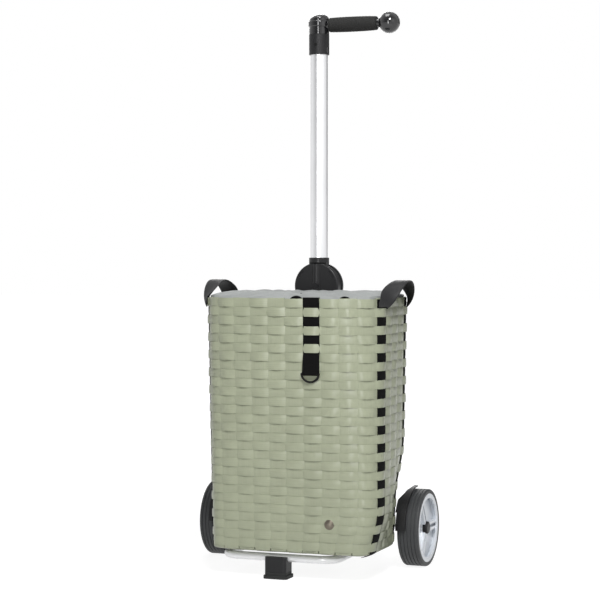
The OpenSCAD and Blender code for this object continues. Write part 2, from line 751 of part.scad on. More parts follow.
function weave_offsets(row) = [for (i = [0:stakes - 1]) (row + i) % 2 == 1 ? over[i] : under[i]];

module weavers(parity) {
    for (row = [parity:2:rows - 2]) {
        z = base_z + row * row_h;
        at_basket(z + row_gap / 2) ring_band(grow(z + row_h / 2), weave_offsets(row), row_h - row_gap);
    }
}

module weavers_even() color(sage) weavers(0);
module weavers_odd() color(sage) weavers(1);

module strip(i, z_low, z_high, near, far, w) {
    at_basket(0) polyhedron(
        points = [for (z = [z_low, z_high]) for (side = [-1, 1]) for (off = [near, far])
            let (p = grow(z) * stake_pt[i] + side * w / 2 * stake_along[i] + off * stake_out[i])
            [p.x, p.y, z]],
        faces = [[1, 3, 2, 0], [5, 7, 3, 1], [4, 6, 7, 5], [7, 6, 2, 3], [6, 4, 0, 2], [4, 5, 1, 0]]);
}

stake_top_z = rim_z - rim_cap - seat;
module stakes_green() color(sage) for (i = [0:stakes - 1])
    strip(i, base_z, stake_top_z, -strap_t / 2, strap_t / 2, stake_w);

module side_webbing(list) {
    for (i = list) strip(i, base_z + row_h, stake_top_z, webbing_in, webbing_out, side_webbing_w);
}

module side_webbing_right() color(black) side_webbing(side_i);
module side_webbing_left() color(black) side_webbing([for (i = side_i) opposite(i)]);

module rim_band() color(sage) {
    foot = rim_z - row_h + row_gap / 2;
    k = grow(rim_z - row_h / 2);
    at_basket(foot) ring_band(k, over, rim_z - foot);
    at_basket(foot) ring_band(k, under, rim_z - foot);
    at_basket(rim_z - rim_cap) linear_extrude(rim_cap) difference() {
        polygon(ring_pts(k, over, strap_t / 2));
        polygon(ring_pts(k, under, -strap_t / 2));
    }
}

// The base: a board between the stakes' feet over a smaller tray that rests on the base loop
tray_scale = 0.94;
module base_board() color(sage) at_basket(base_z) {
    linear_extrude(board_t) polygon(ring_pts(base_scale, under, -strap_t / 2 - seat));
    translate([0, 0, -base_drop]) linear_extrude(base_drop + eps)
        polygon(tray_scale * ring_pts(base_scale, under, -strap_t / 2 - seat));
}

// A frame on the wall at one stake: -Y points outwards, z = 0 is the rim and it leans with the wall
module on_wall(i) {
    p = stake_pt[i];
    n = stake_out[i];
    lean = atan((1 - base_scale) * (p * n) / (rim_z - base_z));
    translate([p.x + basket_x, p.y + basket_y, rim_z]) rotate([0, 0, atan2(n.y, n.x) + 90])
        rotate([lean, 0, 0]) children();
}

module front_webbing() color(black) on_wall(front_i) difference() {
    translate([-front_webbing_w / 2, 0, 0]) rotate([90, 0, 90])
        linear_extrude(front_webbing_w) webbing_side();
    translate([0, -ring_out, -ring_rows * row_h]) along_x(-front_webbing_w)
        cylinder(d = ring_wire + 2 * fit, h = 2 * front_webbing_w);
}

// Side view of the front webbing: over the rim, under five weavers, out again and round the D-ring's bar
module webbing_side() {
    t = webbing_t;
    top = seat + t;
    translate([-tab_in - t, top - t]) square([tab_in + t + under_in, t]);
    translate([-tab_in - t, -row_h - t / 2]) square([t, top + row_h + t / 2]);
    translate([-tab_in - t, -row_h - t / 2]) square([tab_in + t - webbing_in, t]);
    translate([-webbing_out, -6 * row_h - t / 2]) square([t, 5 * row_h + t]);
    translate([-tab_in - t, -6 * row_h - t / 2]) square([tab_in + t - webbing_in, t]);
    translate([-tab_in - t, -ring_rows * row_h]) square([t, (ring_rows - 6) * row_h + t / 2]);
    translate([-ring_out, -ring_rows * row_h]) circle(ring_loop_r);
}

under_in = wall_in;

module d_ring() color(black) on_wall(front_i) translate([0, -ring_out, -ring_rows * row_h]) {
    arch_r = (ring_half * ring_half + ring_drop * ring_drop) / (2 * ring_drop);
    centre_z = arch_r - ring_drop;
    spread = 2 * asin(ring_half / arch_r);
    along_x(-ring_half) cylinder(d = ring_wire, h = 2 * ring_half);
    for (side = [-1, 1]) translate([side * ring_half, 0, 0]) sphere(d = ring_wire);
    translate([0, 0, centre_z]) rotate([90, 0, 0]) rotate([0, 0, -90 - spread / 2])
        rotate_extrude(angle = spread) translate([arch_r, 0]) circle(d = ring_wire);
}

stud_i = 2;
stud_rows = 25;
module stud() color(steel) on_wall(stud_i) translate([0, -wall_in - seat, -stud_rows * row_h])
    rotate([90, 0, 0]) rotate_extrude() intersection() {
        dome_r = (stud_d * stud_d / 4 + stud_h * stud_h) / (2 * stud_h);
        translate([0, stud_h - dome_r]) circle(dome_r);
        square([stud_d / 2, stud_h]);
    }

// Loop handles: a flat band that leaves the wall, turns its face up at the top and comes back
band_steps = 20;
band_foot = row_h - row_gap;
function band_turn(u) = 90 * (1 + sign(2 * u - 1) * pow(abs(2 * u - 1), 2));
function band_foot_pt(i) = stake_pt[i] + (tab_in + band_t / 2) * stake_out[i];
function band_pt(u) = let (a = band_foot_pt(side_i[0]), b = band_foot_pt(side_i[1]))
    let (m = (a + b) / 2 + (a - b) / 2 * cos(180 * u) + [band_lean * sin(180 * u), 0])
    [m.x, m.y, rim_z + band_rise * sin(180 * u)];
band_u = concat([-1], [for (j = [0:band_steps]) j / band_steps], [2]);
function band_mid(u) = u < 0 ? [band_pt(0).x, band_pt(0).y, rim_z - band_foot]
    : u > 1 ? [band_pt(1).x, band_pt(1).y, rim_z - band_foot] : band_pt(u);
function band_dir(u) = u <= 0 ? [0, 0, 1] : u >= 1 ? [0, 0, -1]
    : unit(band_pt(u + 0.01) - band_pt(u - 0.01));
function band_side(u) = let (v = min(max(u, 0), 1), phi = band_turn(v))
    let (t = stake_along[side_i[v < 0.5 ? 0 : 1]])
    [cos(phi) * t.x + sin(phi), cos(phi) * t.y, 0];
function band_ring(u) = let (d = band_dir(u), raw = band_side(u))
    let (w = unit(raw - (raw * d) * d), n = cross(d, w))
    [for (c = [[-1, -1], [1, -1], [1, 1], [-1, 1]])
        band_mid(u) + c[0] * band_w / 2 * w + c[1] * band_t / 2 * n];

module loop_handle() {
    rings = [for (u = band_u) band_ring(u)];
    last = len(rings) - 1;
    polyhedron(
        points = [for (r = rings) for (p = r) p],
        faces = concat([[0, 1, 2], [0, 2, 3]],
            [for (j = [0:last - 1]) for (c = [0:3]) each let (a = 4 * j + c, b = 4 * j + (c + 1) % 4)
                [[a, a + 4, b], [b, a + 4, b + 4]]],
            [[4 * last + 2, 4 * last + 1, 4 * last], [4 * last + 3, 4 * last + 2, 4 * last]]));
}

module loop_handle_right() color(black) at_basket(0) loop_handle();
module loop_handle_left() color(black) at_basket(0) mirror([1, 0, 0]) loop_handle();

// Liner: a cloth tub with a gathered, crowned top round an open mouth
liner_sides = 72;
corner_slack = 1.2;  // room for the weavers, which run straight between the stakes at the corners
liner_in = wall_in + seat + corner_slack;
function liner_pt(th, inset, k) = k * plan_pt(th) - inset * unit(plan_pt(th));
function mouth_r(th) = 1 / sqrt(pow(cos(th) / (mouth_w / 2), 2) + pow(sin(th) / (mouth_d / 2), 2));
function mouth_pt(th, wider) = (mouth_r(th) + wider) * [cos(th), sin(th)];
function blend(a, b, t) = a * (1 - t) + b * t;
function fold(th, depth) = depth * cos(liner_folds * th);
function cover_pt(th, t, z, depth, under_t) =
    let (p = blend(liner_pt(th, liner_in + under_t, 1), mouth_pt(th, 0), t))
    [p.x, p.y, rim_z + z + fold(th, depth)];
function level_pt(p, z) = [p.x, p.y, z];
floor_z = base_z + board_t + seat;
function liner_ring(j, th) =
    j == 0 ? level_pt(liner_pt(th, liner_in, grow(floor_z)), floor_z)
    : j == 1 ? level_pt(liner_pt(th, liner_in, 1), rim_z)
    : j == 2 ? cover_pt(th, 0.08, liner_rise * 0.5, 0.6, 0)
    : j == 3 ? cover_pt(th, 0.3, liner_rise * 0.9, 1.2, 0)
    : j == 4 ? cover_pt(th, 0.65, liner_rise * 0.95, 1.8, 0)
    : j == 5 ? cover_pt(th, 1, liner_rise * 0.5, 1, 0)
    : j == 6 ? cover_pt(th, 1, liner_rise * 0.5 - liner_t, 1, 0)
    : j == 7 ? cover_pt(th, 0.65, liner_rise * 0.95 - liner_t, 1.8, 0)
    : j == 8 ? cover_pt(th, 0.3, liner_rise * 0.9 - liner_t, 1.2, liner_t)
    : j == 9 ? cover_pt(th, 0.08, liner_rise * 0.5 - liner_t, 0.6, liner_t)
    : j == 10 ? level_pt(liner_pt(th, liner_in + liner_t, 1), rim_z - liner_t)
    : level_pt(liner_pt(th, liner_in + liner_t, grow(floor_z)), floor_z + liner_t);
liner_rings = 12;

module liner() color(grey_cloth) at_basket(0) polyhedron(
    points = [for (j = [0:liner_rings - 1]) for (i = [0:liner_sides - 1])
        liner_ring(j, 360 * i / liner_sides)],
    faces = concat([[for (i = [0:liner_sides - 1]) i]],
        [for (j = [0:liner_rings - 2]) for (i = [0:liner_sides - 1])
            each let (a = j * liner_sides + i, b = j * liner_sides + (i + 1) % liner_sides)
            [[a, a + liner_sides, b], [b, a + liner_sides, b + liner_sides]]],
        [[for (i = [liner_sides - 1:-1:0]) (liner_rings - 1) * liner_sides + i]]));

// Drawstring hem: a soft tube that hangs just inside the mouth, seated under the liner's edge
module drawstring_hem() color(black) at_basket(0) {
    hem_sides = 8;
    z = rim_z + liner_rise * 0.5 - liner_t / 2;
    inside = -hem_d / 2 - seat;
    polyhedron(
        points = [for (i = [0:liner_sides - 1]) for (c = [0:hem_sides - 1]) let (th = 360 * i / liner_sides,
            p = mouth_pt(th, inside + hem_d / 2 * cos(360 * c / hem_sides)))
            [p.x, p.y, z + fold(th, 1) + hem_d / 2 * sin(360 * c / hem_sides)]],
        faces = [for (i = [0:liner_sides - 1]) for (c = [0:hem_sides - 1])
            each let (n = (i + 1) % liner_sides, d = (c + 1) % hem_sides,
                a = i * hem_sides + c, b = i * hem_sides + d, e = n * hem_sides + c, g = n * hem_sides + d)
            [[a, b, e], [b, g, e]]]);
}

// Ties: webbing loops that hold the basket's back to the pole
tie_t = 1.5;
tie_below_joint = 110;
tie_above_base = 150;
tie_neck_w = 12;
tie_flange_w = 60;
tie_z = [joint_z - joint_r - tie_below_joint, base_z + tie_above_base];
module pole_ties() color(black) for (z = tie_z) at_pole(z) linear_extrude(tie_h) {
    wall_y = basket_y + grow(z + tie_h / 2) * basket_d / 2 + wall_in + seat + 0.5 - pole_y;
    difference() {
        circle(d = pole_d + 2 * seat + 2 * tie_t);
        circle(d = pole_d + 2 * seat);
    }
    translate([-tie_neck_w / 2, wall_y]) square([tie_neck_w, -wall_y - pole_d / 2 - seat]);
    translate([-tie_flange_w / 2, wall_y]) square([tie_flange_w, tie_t]);
}

lower_pole();
pole_bracket();
bracket_bolt();
axle();
base_loop();
loop_clamps();
foot_block();
foot_sole();
guard_left();
guard_right();
axle_caps();
joint_front_cheek();
joint_rear_cheek();
pivot_sleeve();
button_spring();
socket_screws();
stakes_green();
weavers_even();
weavers_odd();
rim_band();
base_board();
liner();
drawstring_hem();
front_webbing();
side_webbing_left();
side_webbing_right();
loop_handle_left();
loop_handle_right();
stud();
pole_ties();
joint_knuckle();
upper_pole();
pole_sleeve();
sleeve_screw();
swivel_pin();
swivel_hub();
hub_cap();
grip_rod();
foam_grip();
grip_ring();
ball_knob();
wheel_core_left();
tyre_left();
bushes_left();
wheel_core_right();
tyre_right();
bushes_right();
d_ring();
release_button();
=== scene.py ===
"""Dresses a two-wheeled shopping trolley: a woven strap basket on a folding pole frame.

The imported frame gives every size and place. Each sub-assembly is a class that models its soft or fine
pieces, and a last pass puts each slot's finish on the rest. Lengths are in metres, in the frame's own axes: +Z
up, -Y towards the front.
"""

import json
import logging
import math
import random
from dataclasses import dataclass, field
from enum import Enum
from typing import Callable, Sequence

import bpy
from mathutils import Matrix, Vector


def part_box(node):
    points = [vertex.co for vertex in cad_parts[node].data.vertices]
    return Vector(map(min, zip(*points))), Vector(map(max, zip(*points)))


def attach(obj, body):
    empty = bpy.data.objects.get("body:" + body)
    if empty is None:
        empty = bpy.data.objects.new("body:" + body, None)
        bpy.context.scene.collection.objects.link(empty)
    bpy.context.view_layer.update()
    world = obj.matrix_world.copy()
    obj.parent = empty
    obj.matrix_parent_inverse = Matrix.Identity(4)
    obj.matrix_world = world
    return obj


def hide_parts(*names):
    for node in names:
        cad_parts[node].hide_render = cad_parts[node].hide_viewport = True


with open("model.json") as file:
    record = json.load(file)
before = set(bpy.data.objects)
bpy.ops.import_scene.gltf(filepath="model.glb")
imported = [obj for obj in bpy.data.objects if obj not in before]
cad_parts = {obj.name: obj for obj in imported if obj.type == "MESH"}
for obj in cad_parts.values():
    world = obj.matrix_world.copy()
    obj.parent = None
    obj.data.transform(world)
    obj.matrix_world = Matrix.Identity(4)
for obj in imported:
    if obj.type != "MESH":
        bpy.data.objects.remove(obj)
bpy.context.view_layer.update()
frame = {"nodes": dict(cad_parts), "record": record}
NODES: dict[str, bpy.types.Object] = frame["nodes"]
MM = 0.001
UP = Vector((0.0, 0.0, 1.0))
SEED = 7
NODE_SHARP = 30.0  # Edges of the frame's own nodes sharper than this stay sharp, in degrees
LOG = logging.getLogger("trolley")


class Slot(Enum):
    """Material slots of the record, one for each finish."""

    ANODISED = "anodised"
    BRIGHT_TUBE = "bright_tube"
    STEEL = "steel"
    BLACK_PLASTIC = "black_plastic"
    JOINT_PLASTIC = "joint_plastic"
    GLOSS_BLACK = "gloss_black"
    FOAM = "foam"
    SOLE_RUBBER = "sole_rubber"
    TYRE_RUBBER = "tyre_rubber"
    WHEEL_SILVER = "wheel_silver"
    SAGE_STRAP = "sage_strap"
    BLACK_WEBBING = "black_webbing"
    BLACK_BAND = "black_band"
    GREY_CLOTH = "grey_cloth"
    ANTIQUE_METAL = "antique_metal"
    BLACK_WIRE = "black_wire"


class Side(Enum):
    """The two sides of the trolley, as the sign of X."""

    LEFT = -1
    RIGHT = 1

    @property
    def word(self) -> str:
        """The side's name as it ends a node's name."""
        return self.name.lower()


# Modelling helpers

Placer = Callable[[float, float], Vector]
Pair = tuple[float, float]
Route = list[Pair]


def deselect() -> None:
    """Leaves nothing selected, so that the next operator acts only on its own piece."""
    bpy.ops.object.select_all(action="DESELECT")


def activate(piece: bpy.types.Object) -> None:
    """Selects one piece alone and makes it the active one."""
    deselect()
    piece.select_set(True)
    bpy.context.view_layer.objects.active = piece


def finish_modifier(piece: bpy.types.Object, kind: str, **settings: object) -> None:
    """Adds a modifier and applies it.

    Args:
        piece: The mesh to change.
        kind: The modifier's type, such as SOLIDIFY.
        settings: Values for the modifier's own properties.
    """
    activate(piece)
    modifier = piece.modifiers.new(kind.lower(), kind)
    for key, value in settings.items():
        setattr(modifier, key, value)
    bpy.ops.object.modifier_apply(modifier=modifier.name)


def edit_all(piece: bpy.types.Object, *operations: Callable[[], object]) -> None:
    """Runs edit mode operators on the whole of a piece.

    Args:
        piece: The mesh to edit.
        operations: Calls to run in order with everything selected.
    """
    activate(piece)
    bpy.ops.object.mode_set(mode="EDIT")
    bpy.ops.mesh.select_all(action="SELECT")
    for operation in operations:
        operation()
    bpy.ops.object.mode_set(mode="OBJECT")


def smooth(piece: bpy.types.Object, degrees: float) -> None:
    """Shades a piece smooth, apart from edges sharper than the angle given."""
    activate(piece)
    bpy.ops.object.shade_smooth_by_angle(angle=math.radians(degrees))


def joined(name: str, pieces: Sequence[bpy.types.Object]) -> bpy.types.Object:
    """Joins pieces into one object.

    Args:
        name: The name of the result.
        pieces: The meshes to join.

    Returns:
        The joined object, at the origin.
    """
    deselect()
    for piece in pieces:
        piece.select_set(True)
    bpy.context.view_layer.objects.active = pieces[0]
    if len(pieces) > 1:
        bpy.ops.object.join()
    pieces[0].name = name
    pieces[0].data.name = name
    return pieces[0]


def surface(name: str, steps: tuple[int, int], place: Placer, size: Pair,
            closed: bool = False) -> bpy.types.Object:
    """Shapes a grid into a curved surface.

    Args:
        name: The piece's name.
        steps: How many cells run along and across.
        place: Gives the point for a share along and a share across, both from 0 to 1.
        size: Length and width in metres, which the UV map takes.
        closed: Whether the far end is merged with the near one.

    Returns:
        The new object, at the origin.
    """
    deselect()
    bpy.ops.mesh.primitive_grid_add(x_subdivisions=steps[0], y_subdivisions=steps[1], size=1.0, calc_uvs=True)
    piece = bpy.context.active_object
    piece.name = name
    mesh = piece.data
    for vertex in mesh.vertices:
        vertex.co = place(vertex.co.x + 0.5, vertex.co.y + 0.5)
    for loop in mesh.uv_layers.active.data:
        loop.uv = (loop.uv.x * size[0], loop.uv.y * size[1])
    if closed:
        edit_all(piece, lambda: bpy.ops.mesh.remove_doubles(threshold=1e-6))
    mesh.update()
    return piece


def swept(name: str, steps: tuple[int, int], place: Placer, size: Pair, sharp: float) -> bpy.types.Object:
    """Shapes a closed body: a grid rolled into a tube, with both ends filled.

    Args:
        name: The piece's name.
        steps: How many cells run round it and along it.
        place: Gives the point for a share round and a share along, both from 0 to 1.
        size: Girth and length in metres, which the UV map takes.
        sharp: Edges sharper than this angle stay sharp, in degrees.

    Returns:
        The new object, at the origin.
    """
    piece = surface(name, steps, place, size, closed=True)
    edit_all(piece, lambda: bpy.ops.mesh.fill_holes(sides=0),
             lambda: bpy.ops.mesh.normals_make_consistent(inside=False))
    smooth(piece, sharp)
    return piece


def thickened(name: str, straps: Sequence[bpy.types.Object], thick: float,
              sharp: float = 50.0) -> bpy.types.Object:
    """Joins thin sheets and gives them their thickness.

    Args:
        name: The name of the result.
        straps: The thin sheets.
        thick: Their thickness.
        sharp: Edges sharper than this angle stay sharp, in degrees.

    Returns:
        The joined piece.
    """
    piece = joined(name, straps)
    finish_modifier(piece, "SOLIDIFY", thickness=thick, offset=0.0)
    smooth(piece, sharp)
    return piece


def dress(piece: bpy.types.Object, material: bpy.types.Material) -> None:
    """Gives a piece one material all over."""
    piece.data.materials.clear()
    piece.data.materials.append(material)


def eased(value: float, power: float) -> float:
    """Flattens a wave's crests: the sign is kept and the size is raised to a power."""
    return math.copysign(abs(value) ** power, value)


def smooth_step(value: float) -> float:
    """Rises smoothly from 0 to 1 as its value does."""
    held = min(max(value, 0.0), 1.0)
    return held * held * (3 - 2 * held)


def middle_of(node: str) -> Vector:
    """The middle of a node's box."""
    low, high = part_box(node)
    return (Vector(low) + Vector(high)) / 2


def rounded_route(route: Route, passes: int = 3) -> Route:
    """Rounds the corners of a route of points by cutting them again and again."""
    for _ in range(passes):
        cut: Route = [route[0]]
        for start, end in zip(route, route[1:]):
            for share in (0.25, 0.75):
                cut.append(tuple(a + (b - a) * share for a, b in zip(start, end)))
        route = cut + [route[-1]]
    return route


def route_length(route: Route) -> float:
    """Length of a route of points."""
    return sum(math.dist(*ends) for ends in zip(route, route[1:]))


# Shader building blocks

Sockets = dict[str | int, object]
SOCKET_TYPES = {float: "NodeSocketFloat", tuple: "NodeSocketColor", Vector: "NodeSocketVector"}


class Graph:
    """A shader node tree that is filled node by node."""

    def __init__(self, tree: bpy.types.NodeTree) -> None:
        """Keeps the tree that nodes are added to."""
        self.tree = tree

    def add(self, kind: str, values: Sockets | None = None, **settings: object) -> bpy.types.Node:
        """Adds a node, sets its properties and fills its inputs.

        Args:
            kind: The node's type without its ShaderNode prefix.
            values: What goes into each input: a plain value, or another node's output to link.
            settings: The node's own properties.

        Returns:
            The new node.
        """
        node = self.tree.nodes.new("ShaderNode" + kind)
        for key, value in settings.items():
            setattr(node, key, value)
        for key, value in (values or {}).items():
            if isinstance(value, bpy.types.NodeSocket):
                self.tree.links.new(value, node.inputs[key])
            else:
                node.inputs[key].default_value = value
        return node

    def math(self, operation: str, *values: object) -> bpy.types.NodeSocket:
        """Adds a Math node and returns its output."""
        return self.add("Math", dict(enumerate(values)), operation=operation).outputs[0]

    def spread(self, value: object, low: object, high: object, start: float = 0.3, end: float = 0.7
               ) -> bpy.types.NodeSocket:
        """Maps a value onto a range, by default from the middle of a noise.

        Args:
            value: The value to map.
            low: What its low end becomes.
            high: What its high end becomes.
            start: The value taken as the low end.
            end: The value taken as the high end.

        Returns:
            The mapped value.
        """
        return self.add("MapRange", {0: value, 1: start, 2: end, 3: low, 4: high}).outputs[0]

    def place(self, kind: str) -> bpy.types.NodeSocket:
        """Adds the texture coordinates and returns one kind of them."""
        return self.add("TexCoord").outputs[kind]

    def noise(self, place: object, scale: object, detail: float) -> bpy.types.NodeSocket:
        """Adds a noise texture and returns its value."""
        return self.add("TexNoise", {"Vector": place, "Scale": scale, "Detail": detail}).outputs[0]

    def scaled(self, color: object, factor: object) -> bpy.types.NodeSocket:
        """Makes a colour lighter or darker by a factor."""
        return self.add("VectorMath", {0: color, "Scale": factor}, operation="SCALE").outputs[0]

    def weighted(self, *parts: tuple[object, object]) -> bpy.types.NodeSocket:
        """Adds up two values, each times its weight."""
        return self.math("ADD", *(self.math("MULTIPLY", *part) for part in parts))

    def group(self, tree: bpy.types.NodeTree, values: Sockets) -> bpy.types.NodeSocket:
        """Adds a shared group and returns its only output."""
        return self.add("Group", values, node_tree=tree).outputs[0]


def shared_group(name: str, inputs: Sockets, outputs: dict[str, type],
                 body: Callable[[Graph, Sockets], Sockets]) -> bpy.types.NodeTree:
    """Builds a shader node group once.

    Args:
        name: The group's name.
        inputs: Each input's default value, by name.
        outputs: Each output's type, by name.
        body: Fills the group: takes the graph and the input sockets, and returns what feeds each output.

    Returns:
        The group's node tree.
    """
    if name in bpy.data.node_groups:
        return bpy.data.node_groups[name]
    tree = bpy.data.node_groups.new(name, "ShaderNodeTree")
    for key, value in inputs.items():
        socket = tree.interface.new_socket(key, in_out="INPUT", socket_type=SOCKET_TYPES[type(value)])
        socket.default_value = value
    for key, kind in outputs.items():
        tree.interface.new_socket(key, in_out="OUTPUT", socket_type=SOCKET_TYPES[kind])
    start, end = tree.nodes.new("NodeGroupInput"), tree.nodes.new("NodeGroupOutput")
    results = body(Graph(tree), {key: start.outputs[key] for key in inputs})
    for key, socket in results.items():
        tree.links.new(socket, end.inputs[key])
    return tree


def tone_drift_group() -> bpy.types.NodeTree:
    """A colour that drifts a little lighter and darker over the surface."""
    def body(graph: Graph, given: Sockets) -> Sockets:
        """Scales the colour by a soft noise."""
        noise = graph.noise(graph.place("Object"), given["Scale"], 3.0)
        low, high = graph.math("SUBTRACT", 1.0, given["Amount"]), graph.math("ADD", 1.0, given["Amount"])
        return {"Color": graph.scaled(given["Color"], graph.spread(noise, low, high))}

    inputs: Sockets = {"Color": (0.5, 0.5, 0.5, 1.0), "Amount": 0.06, "Scale": 12.0}
    return shared_group("tone_drift", inputs, {"Color": tuple}, body)


DUST_SCALE = 14.0  # How much finer dust is than handling marks


def rough_drift_group() -> bpy.types.NodeTree:
    """A roughness that varies with handling marks and fine dust."""
    def body(graph: Graph, given: Sockets) -> Sockets:
        """Adds a broad and a fine noise to the roughness."""
        place = graph.place("Object")
        broad = graph.noise(place, given["Scale"], 4.0)
        fine = graph.noise(place, graph.math("MULTIPLY", given["Scale"], DUST_SCALE), 2.0)
        both = graph.weighted((broad, 0.7), (fine, 0.3))
        shift = graph.math("MULTIPLY", graph.math("SUBTRACT", both, 0.5), given["Amount"])
        return {"Roughness": graph.math("ADD", given["Roughness"], shift)}

    inputs: Sockets = {"Roughness": 0.4, "Amount": 0.2, "Scale": 30.0}
    return shared_group("rough_drift", inputs, {"Roughness": float}, body)


def moulded_grain_group() -> bpy.types.NodeTree:
    """The fine pebbled texture of a moulding tool."""
    def body(graph: Graph, given: Sockets) -> Sockets:
        """Mixes pebbles with a finer noise."""
        place = graph.place("Object")
        pebbles = graph.add("TexVoronoi", {"Vector": place, "Scale": given["Scale"]}).outputs["Distance"]
        return {"Height": graph.weighted((pebbles, 0.6), (graph.noise(place, given["Scale"], 2.0), 0.4))}

    return shared_group("moulded_grain", {"Scale": 1500.0}, {"Height": float}, body)


FINE_LINES = 4.3  # How many fine lines there are to a broad one


def drawn_streaks_group() -> bpy.types.NodeTree:
    """Fine lines left by drawing or extruding, long in one direction."""
    def body(graph: Graph, given: Sockets) -> Sockets:
        """Stretches two noises along the direction of drawing."""
        scaled = {0: given["Vector"], 1: given["Scale"]}
        place = graph.add("VectorMath", scaled, operation="MULTIPLY").outputs[0]
        broad, fine = graph.noise(place, 1.0, 3.0), graph.noise(place, FINE_LINES, 2.0)
        return {"Lines": graph.spread(graph.weighted((broad, 0.65), (fine, 0.35)), 0.0, 1.0)}

    inputs: Sockets = {"Vector": Vector((0, 0, 0)), "Scale": Vector((10, 400, 1))}
    return shared_group("drawn_streaks", inputs, {"Lines": float}, body)


def plain_weave_group() -> bpy.types.NodeTree:
    """Threads that pass over and under each other, on a map in metres."""
    def body(graph: Graph, given: Sockets) -> Sockets:
        """Crosses two waves: the height follows the thread that lies on top, so the lower one sinks."""
        split = graph.add("SeparateXYZ", {0: given["Vector"]})
        turns = [graph.math("DIVIDE", graph.math("MULTIPLY", split.outputs[axis], math.pi), given[pitch])
                 for axis, pitch in ((0, "Warp"), (1, "Weft"))]
        ridge = [graph.math("ABSOLUTE", graph.math("SINE", turn)) for turn in turns]
        sign = graph.math("MULTIPLY", graph.math("SINE", turns[0]), graph.math("SINE", turns[1]))
        over = graph.spread(sign, 0.0, 1.0, -0.15, 0.15)
        rest = graph.math("SUBTRACT", 1.0, over)
        return {"Height": graph.weighted((ridge[0], over), (ridge[1], rest))}

    inputs: Sockets = {"Vector": Vector((0, 0, 0)), "Warp": 0.001, "Weft": 0.001}
    return shared_group("plain_weave", inputs, {"Height": float}, body)


Color = tuple[float, float, float]


@dataclass(frozen=True)
class Finish:
    """A surface finish: its colour, gloss and the drift of both over the surface.

    Attributes:
        slot: The record's slot that it is made for.
        color: Base colour, linear.
        roughness: Mean roughness.
        drift: How far the colour drifts, as a share.
        drift_scale: How many drifts there are in a metre.
        rough_drift: How far the roughness drifts.
        settings: Other values for the shader's own sockets.
    """

    slot: Slot
    color: Color
    roughness: float
    drift: float = 0.06
    drift_scale: float = 14.0
    rough_drift: float = 0.18
    settings: tuple[tuple[str, object], ...] = ()

    def build(self) -> bpy.types.Material:
        """Makes the material, or returns the one already made."""
        name = self.slot.value + "_finish"
        if name in bpy.data.materials:
            return bpy.data.materials[name]
        material = bpy.data.materials.new(name)
        material.use_nodes = True
        graph = Graph(material.node_tree)
        shader = material.node_tree.nodes["Principled BSDF"]
        for key, value in self.settings:
            shader.inputs[key].default_value = value
        self.paint(graph, shader)
        return material

    def tinted(self, graph: Graph) -> bpy.types.NodeSocket:
        """The base colour with its drift."""
        values = {"Color": (*self.color, 1.0), "Amount": self.drift, "Scale": self.drift_scale}
        return graph.group(tone_drift_group(), values)

    def roughened(self, graph: Graph) -> bpy.types.NodeSocket:
        """The roughness with its handling marks."""
        values = {"Roughness": self.roughness, "Amount": self.rough_drift, "Scale": 2 * self.drift_scale}
        return graph.group(rough_drift_group(), values)

    def wire(self, graph: Graph, shader: bpy.types.Node, **sockets: bpy.types.NodeSocket) -> None:
        """Links results to the shader's inputs: color, roughness and normal."""
        names = {"color": "Base Color", "roughness": "Roughness", "normal": "Normal"}
        for key, socket in sockets.items():
            graph.tree.links.new(socket, shader.inputs[names[key]])

    def bumped(self, graph: Graph, height: bpy.types.NodeSocket, depth: float, strength: float = 0.6
               ) -> bpy.types.NodeSocket:
        """Turns a height from 0 to 1 into a normal.

        Args:
            graph: The material's graph.
            height: The height to raise.
            depth: How deep the full range is, in metres.
            strength: The bump's strength.

        Returns:
            The bumped normal.
        """
        return graph.add("Bump", {"Height": height, "Distance": depth, "Strength": strength}).outputs[0]

    def paint(self, graph: Graph, shader: bpy.types.Node) -> None:
        """Wires the finish's colour and roughness."""
        self.wire(graph, shader, color=self.tinted(graph), roughness=self.roughened(graph))


@dataclass(frozen=True)
class Moulded(Finish):
    """Moulded plastic or rubber with the fine grain of its tool.

    Attributes:
        grain: Grains in a metre.
        grain_depth: How deep a grain is.
    """

    grain: float = 1600.0
    grain_depth: float = 0.05 * MM

    def paint(self, graph: Graph, shader: bpy.types.Node) -> None:
        """Adds the grain to the colour and roughness."""
        super().paint(graph, shader)
        height = graph.group(moulded_grain_group(), {"Scale": self.grain})
        self.wire(graph, shader, normal=self.bumped(graph, height, self.grain_depth))


@dataclass(frozen=True)
class Drawn(Finish):
    """Drawn or turned metal with fine lines along one direction.

    Attributes:
        lines: Lines in a metre along each axis: few along the direction of drawing.
        line_depth: How deep a line is.
    """

    lines: tuple[float, float, float] = (900.0, 900.0, 6.0)
    line_depth: float = 0.01 * MM

    def paint(self, graph: Graph, shader: bpy.types.Node) -> None:
        """Adds the lines to the roughness and the normal."""
        streaks = graph.group(drawn_streaks_group(), {"Vector": graph.place("Object"), "Scale": self.lines})
        shift = graph.math("MULTIPLY", graph.math("SUBTRACT", streaks, 0.5), 0.5 * self.rough_drift)
        rough = graph.math("ADD", self.roughened(graph), shift)
        self.wire(graph, shader, color=self.tinted(graph), roughness=rough,
                  normal=self.bumped(graph, streaks, self.line_depth, 0.4))


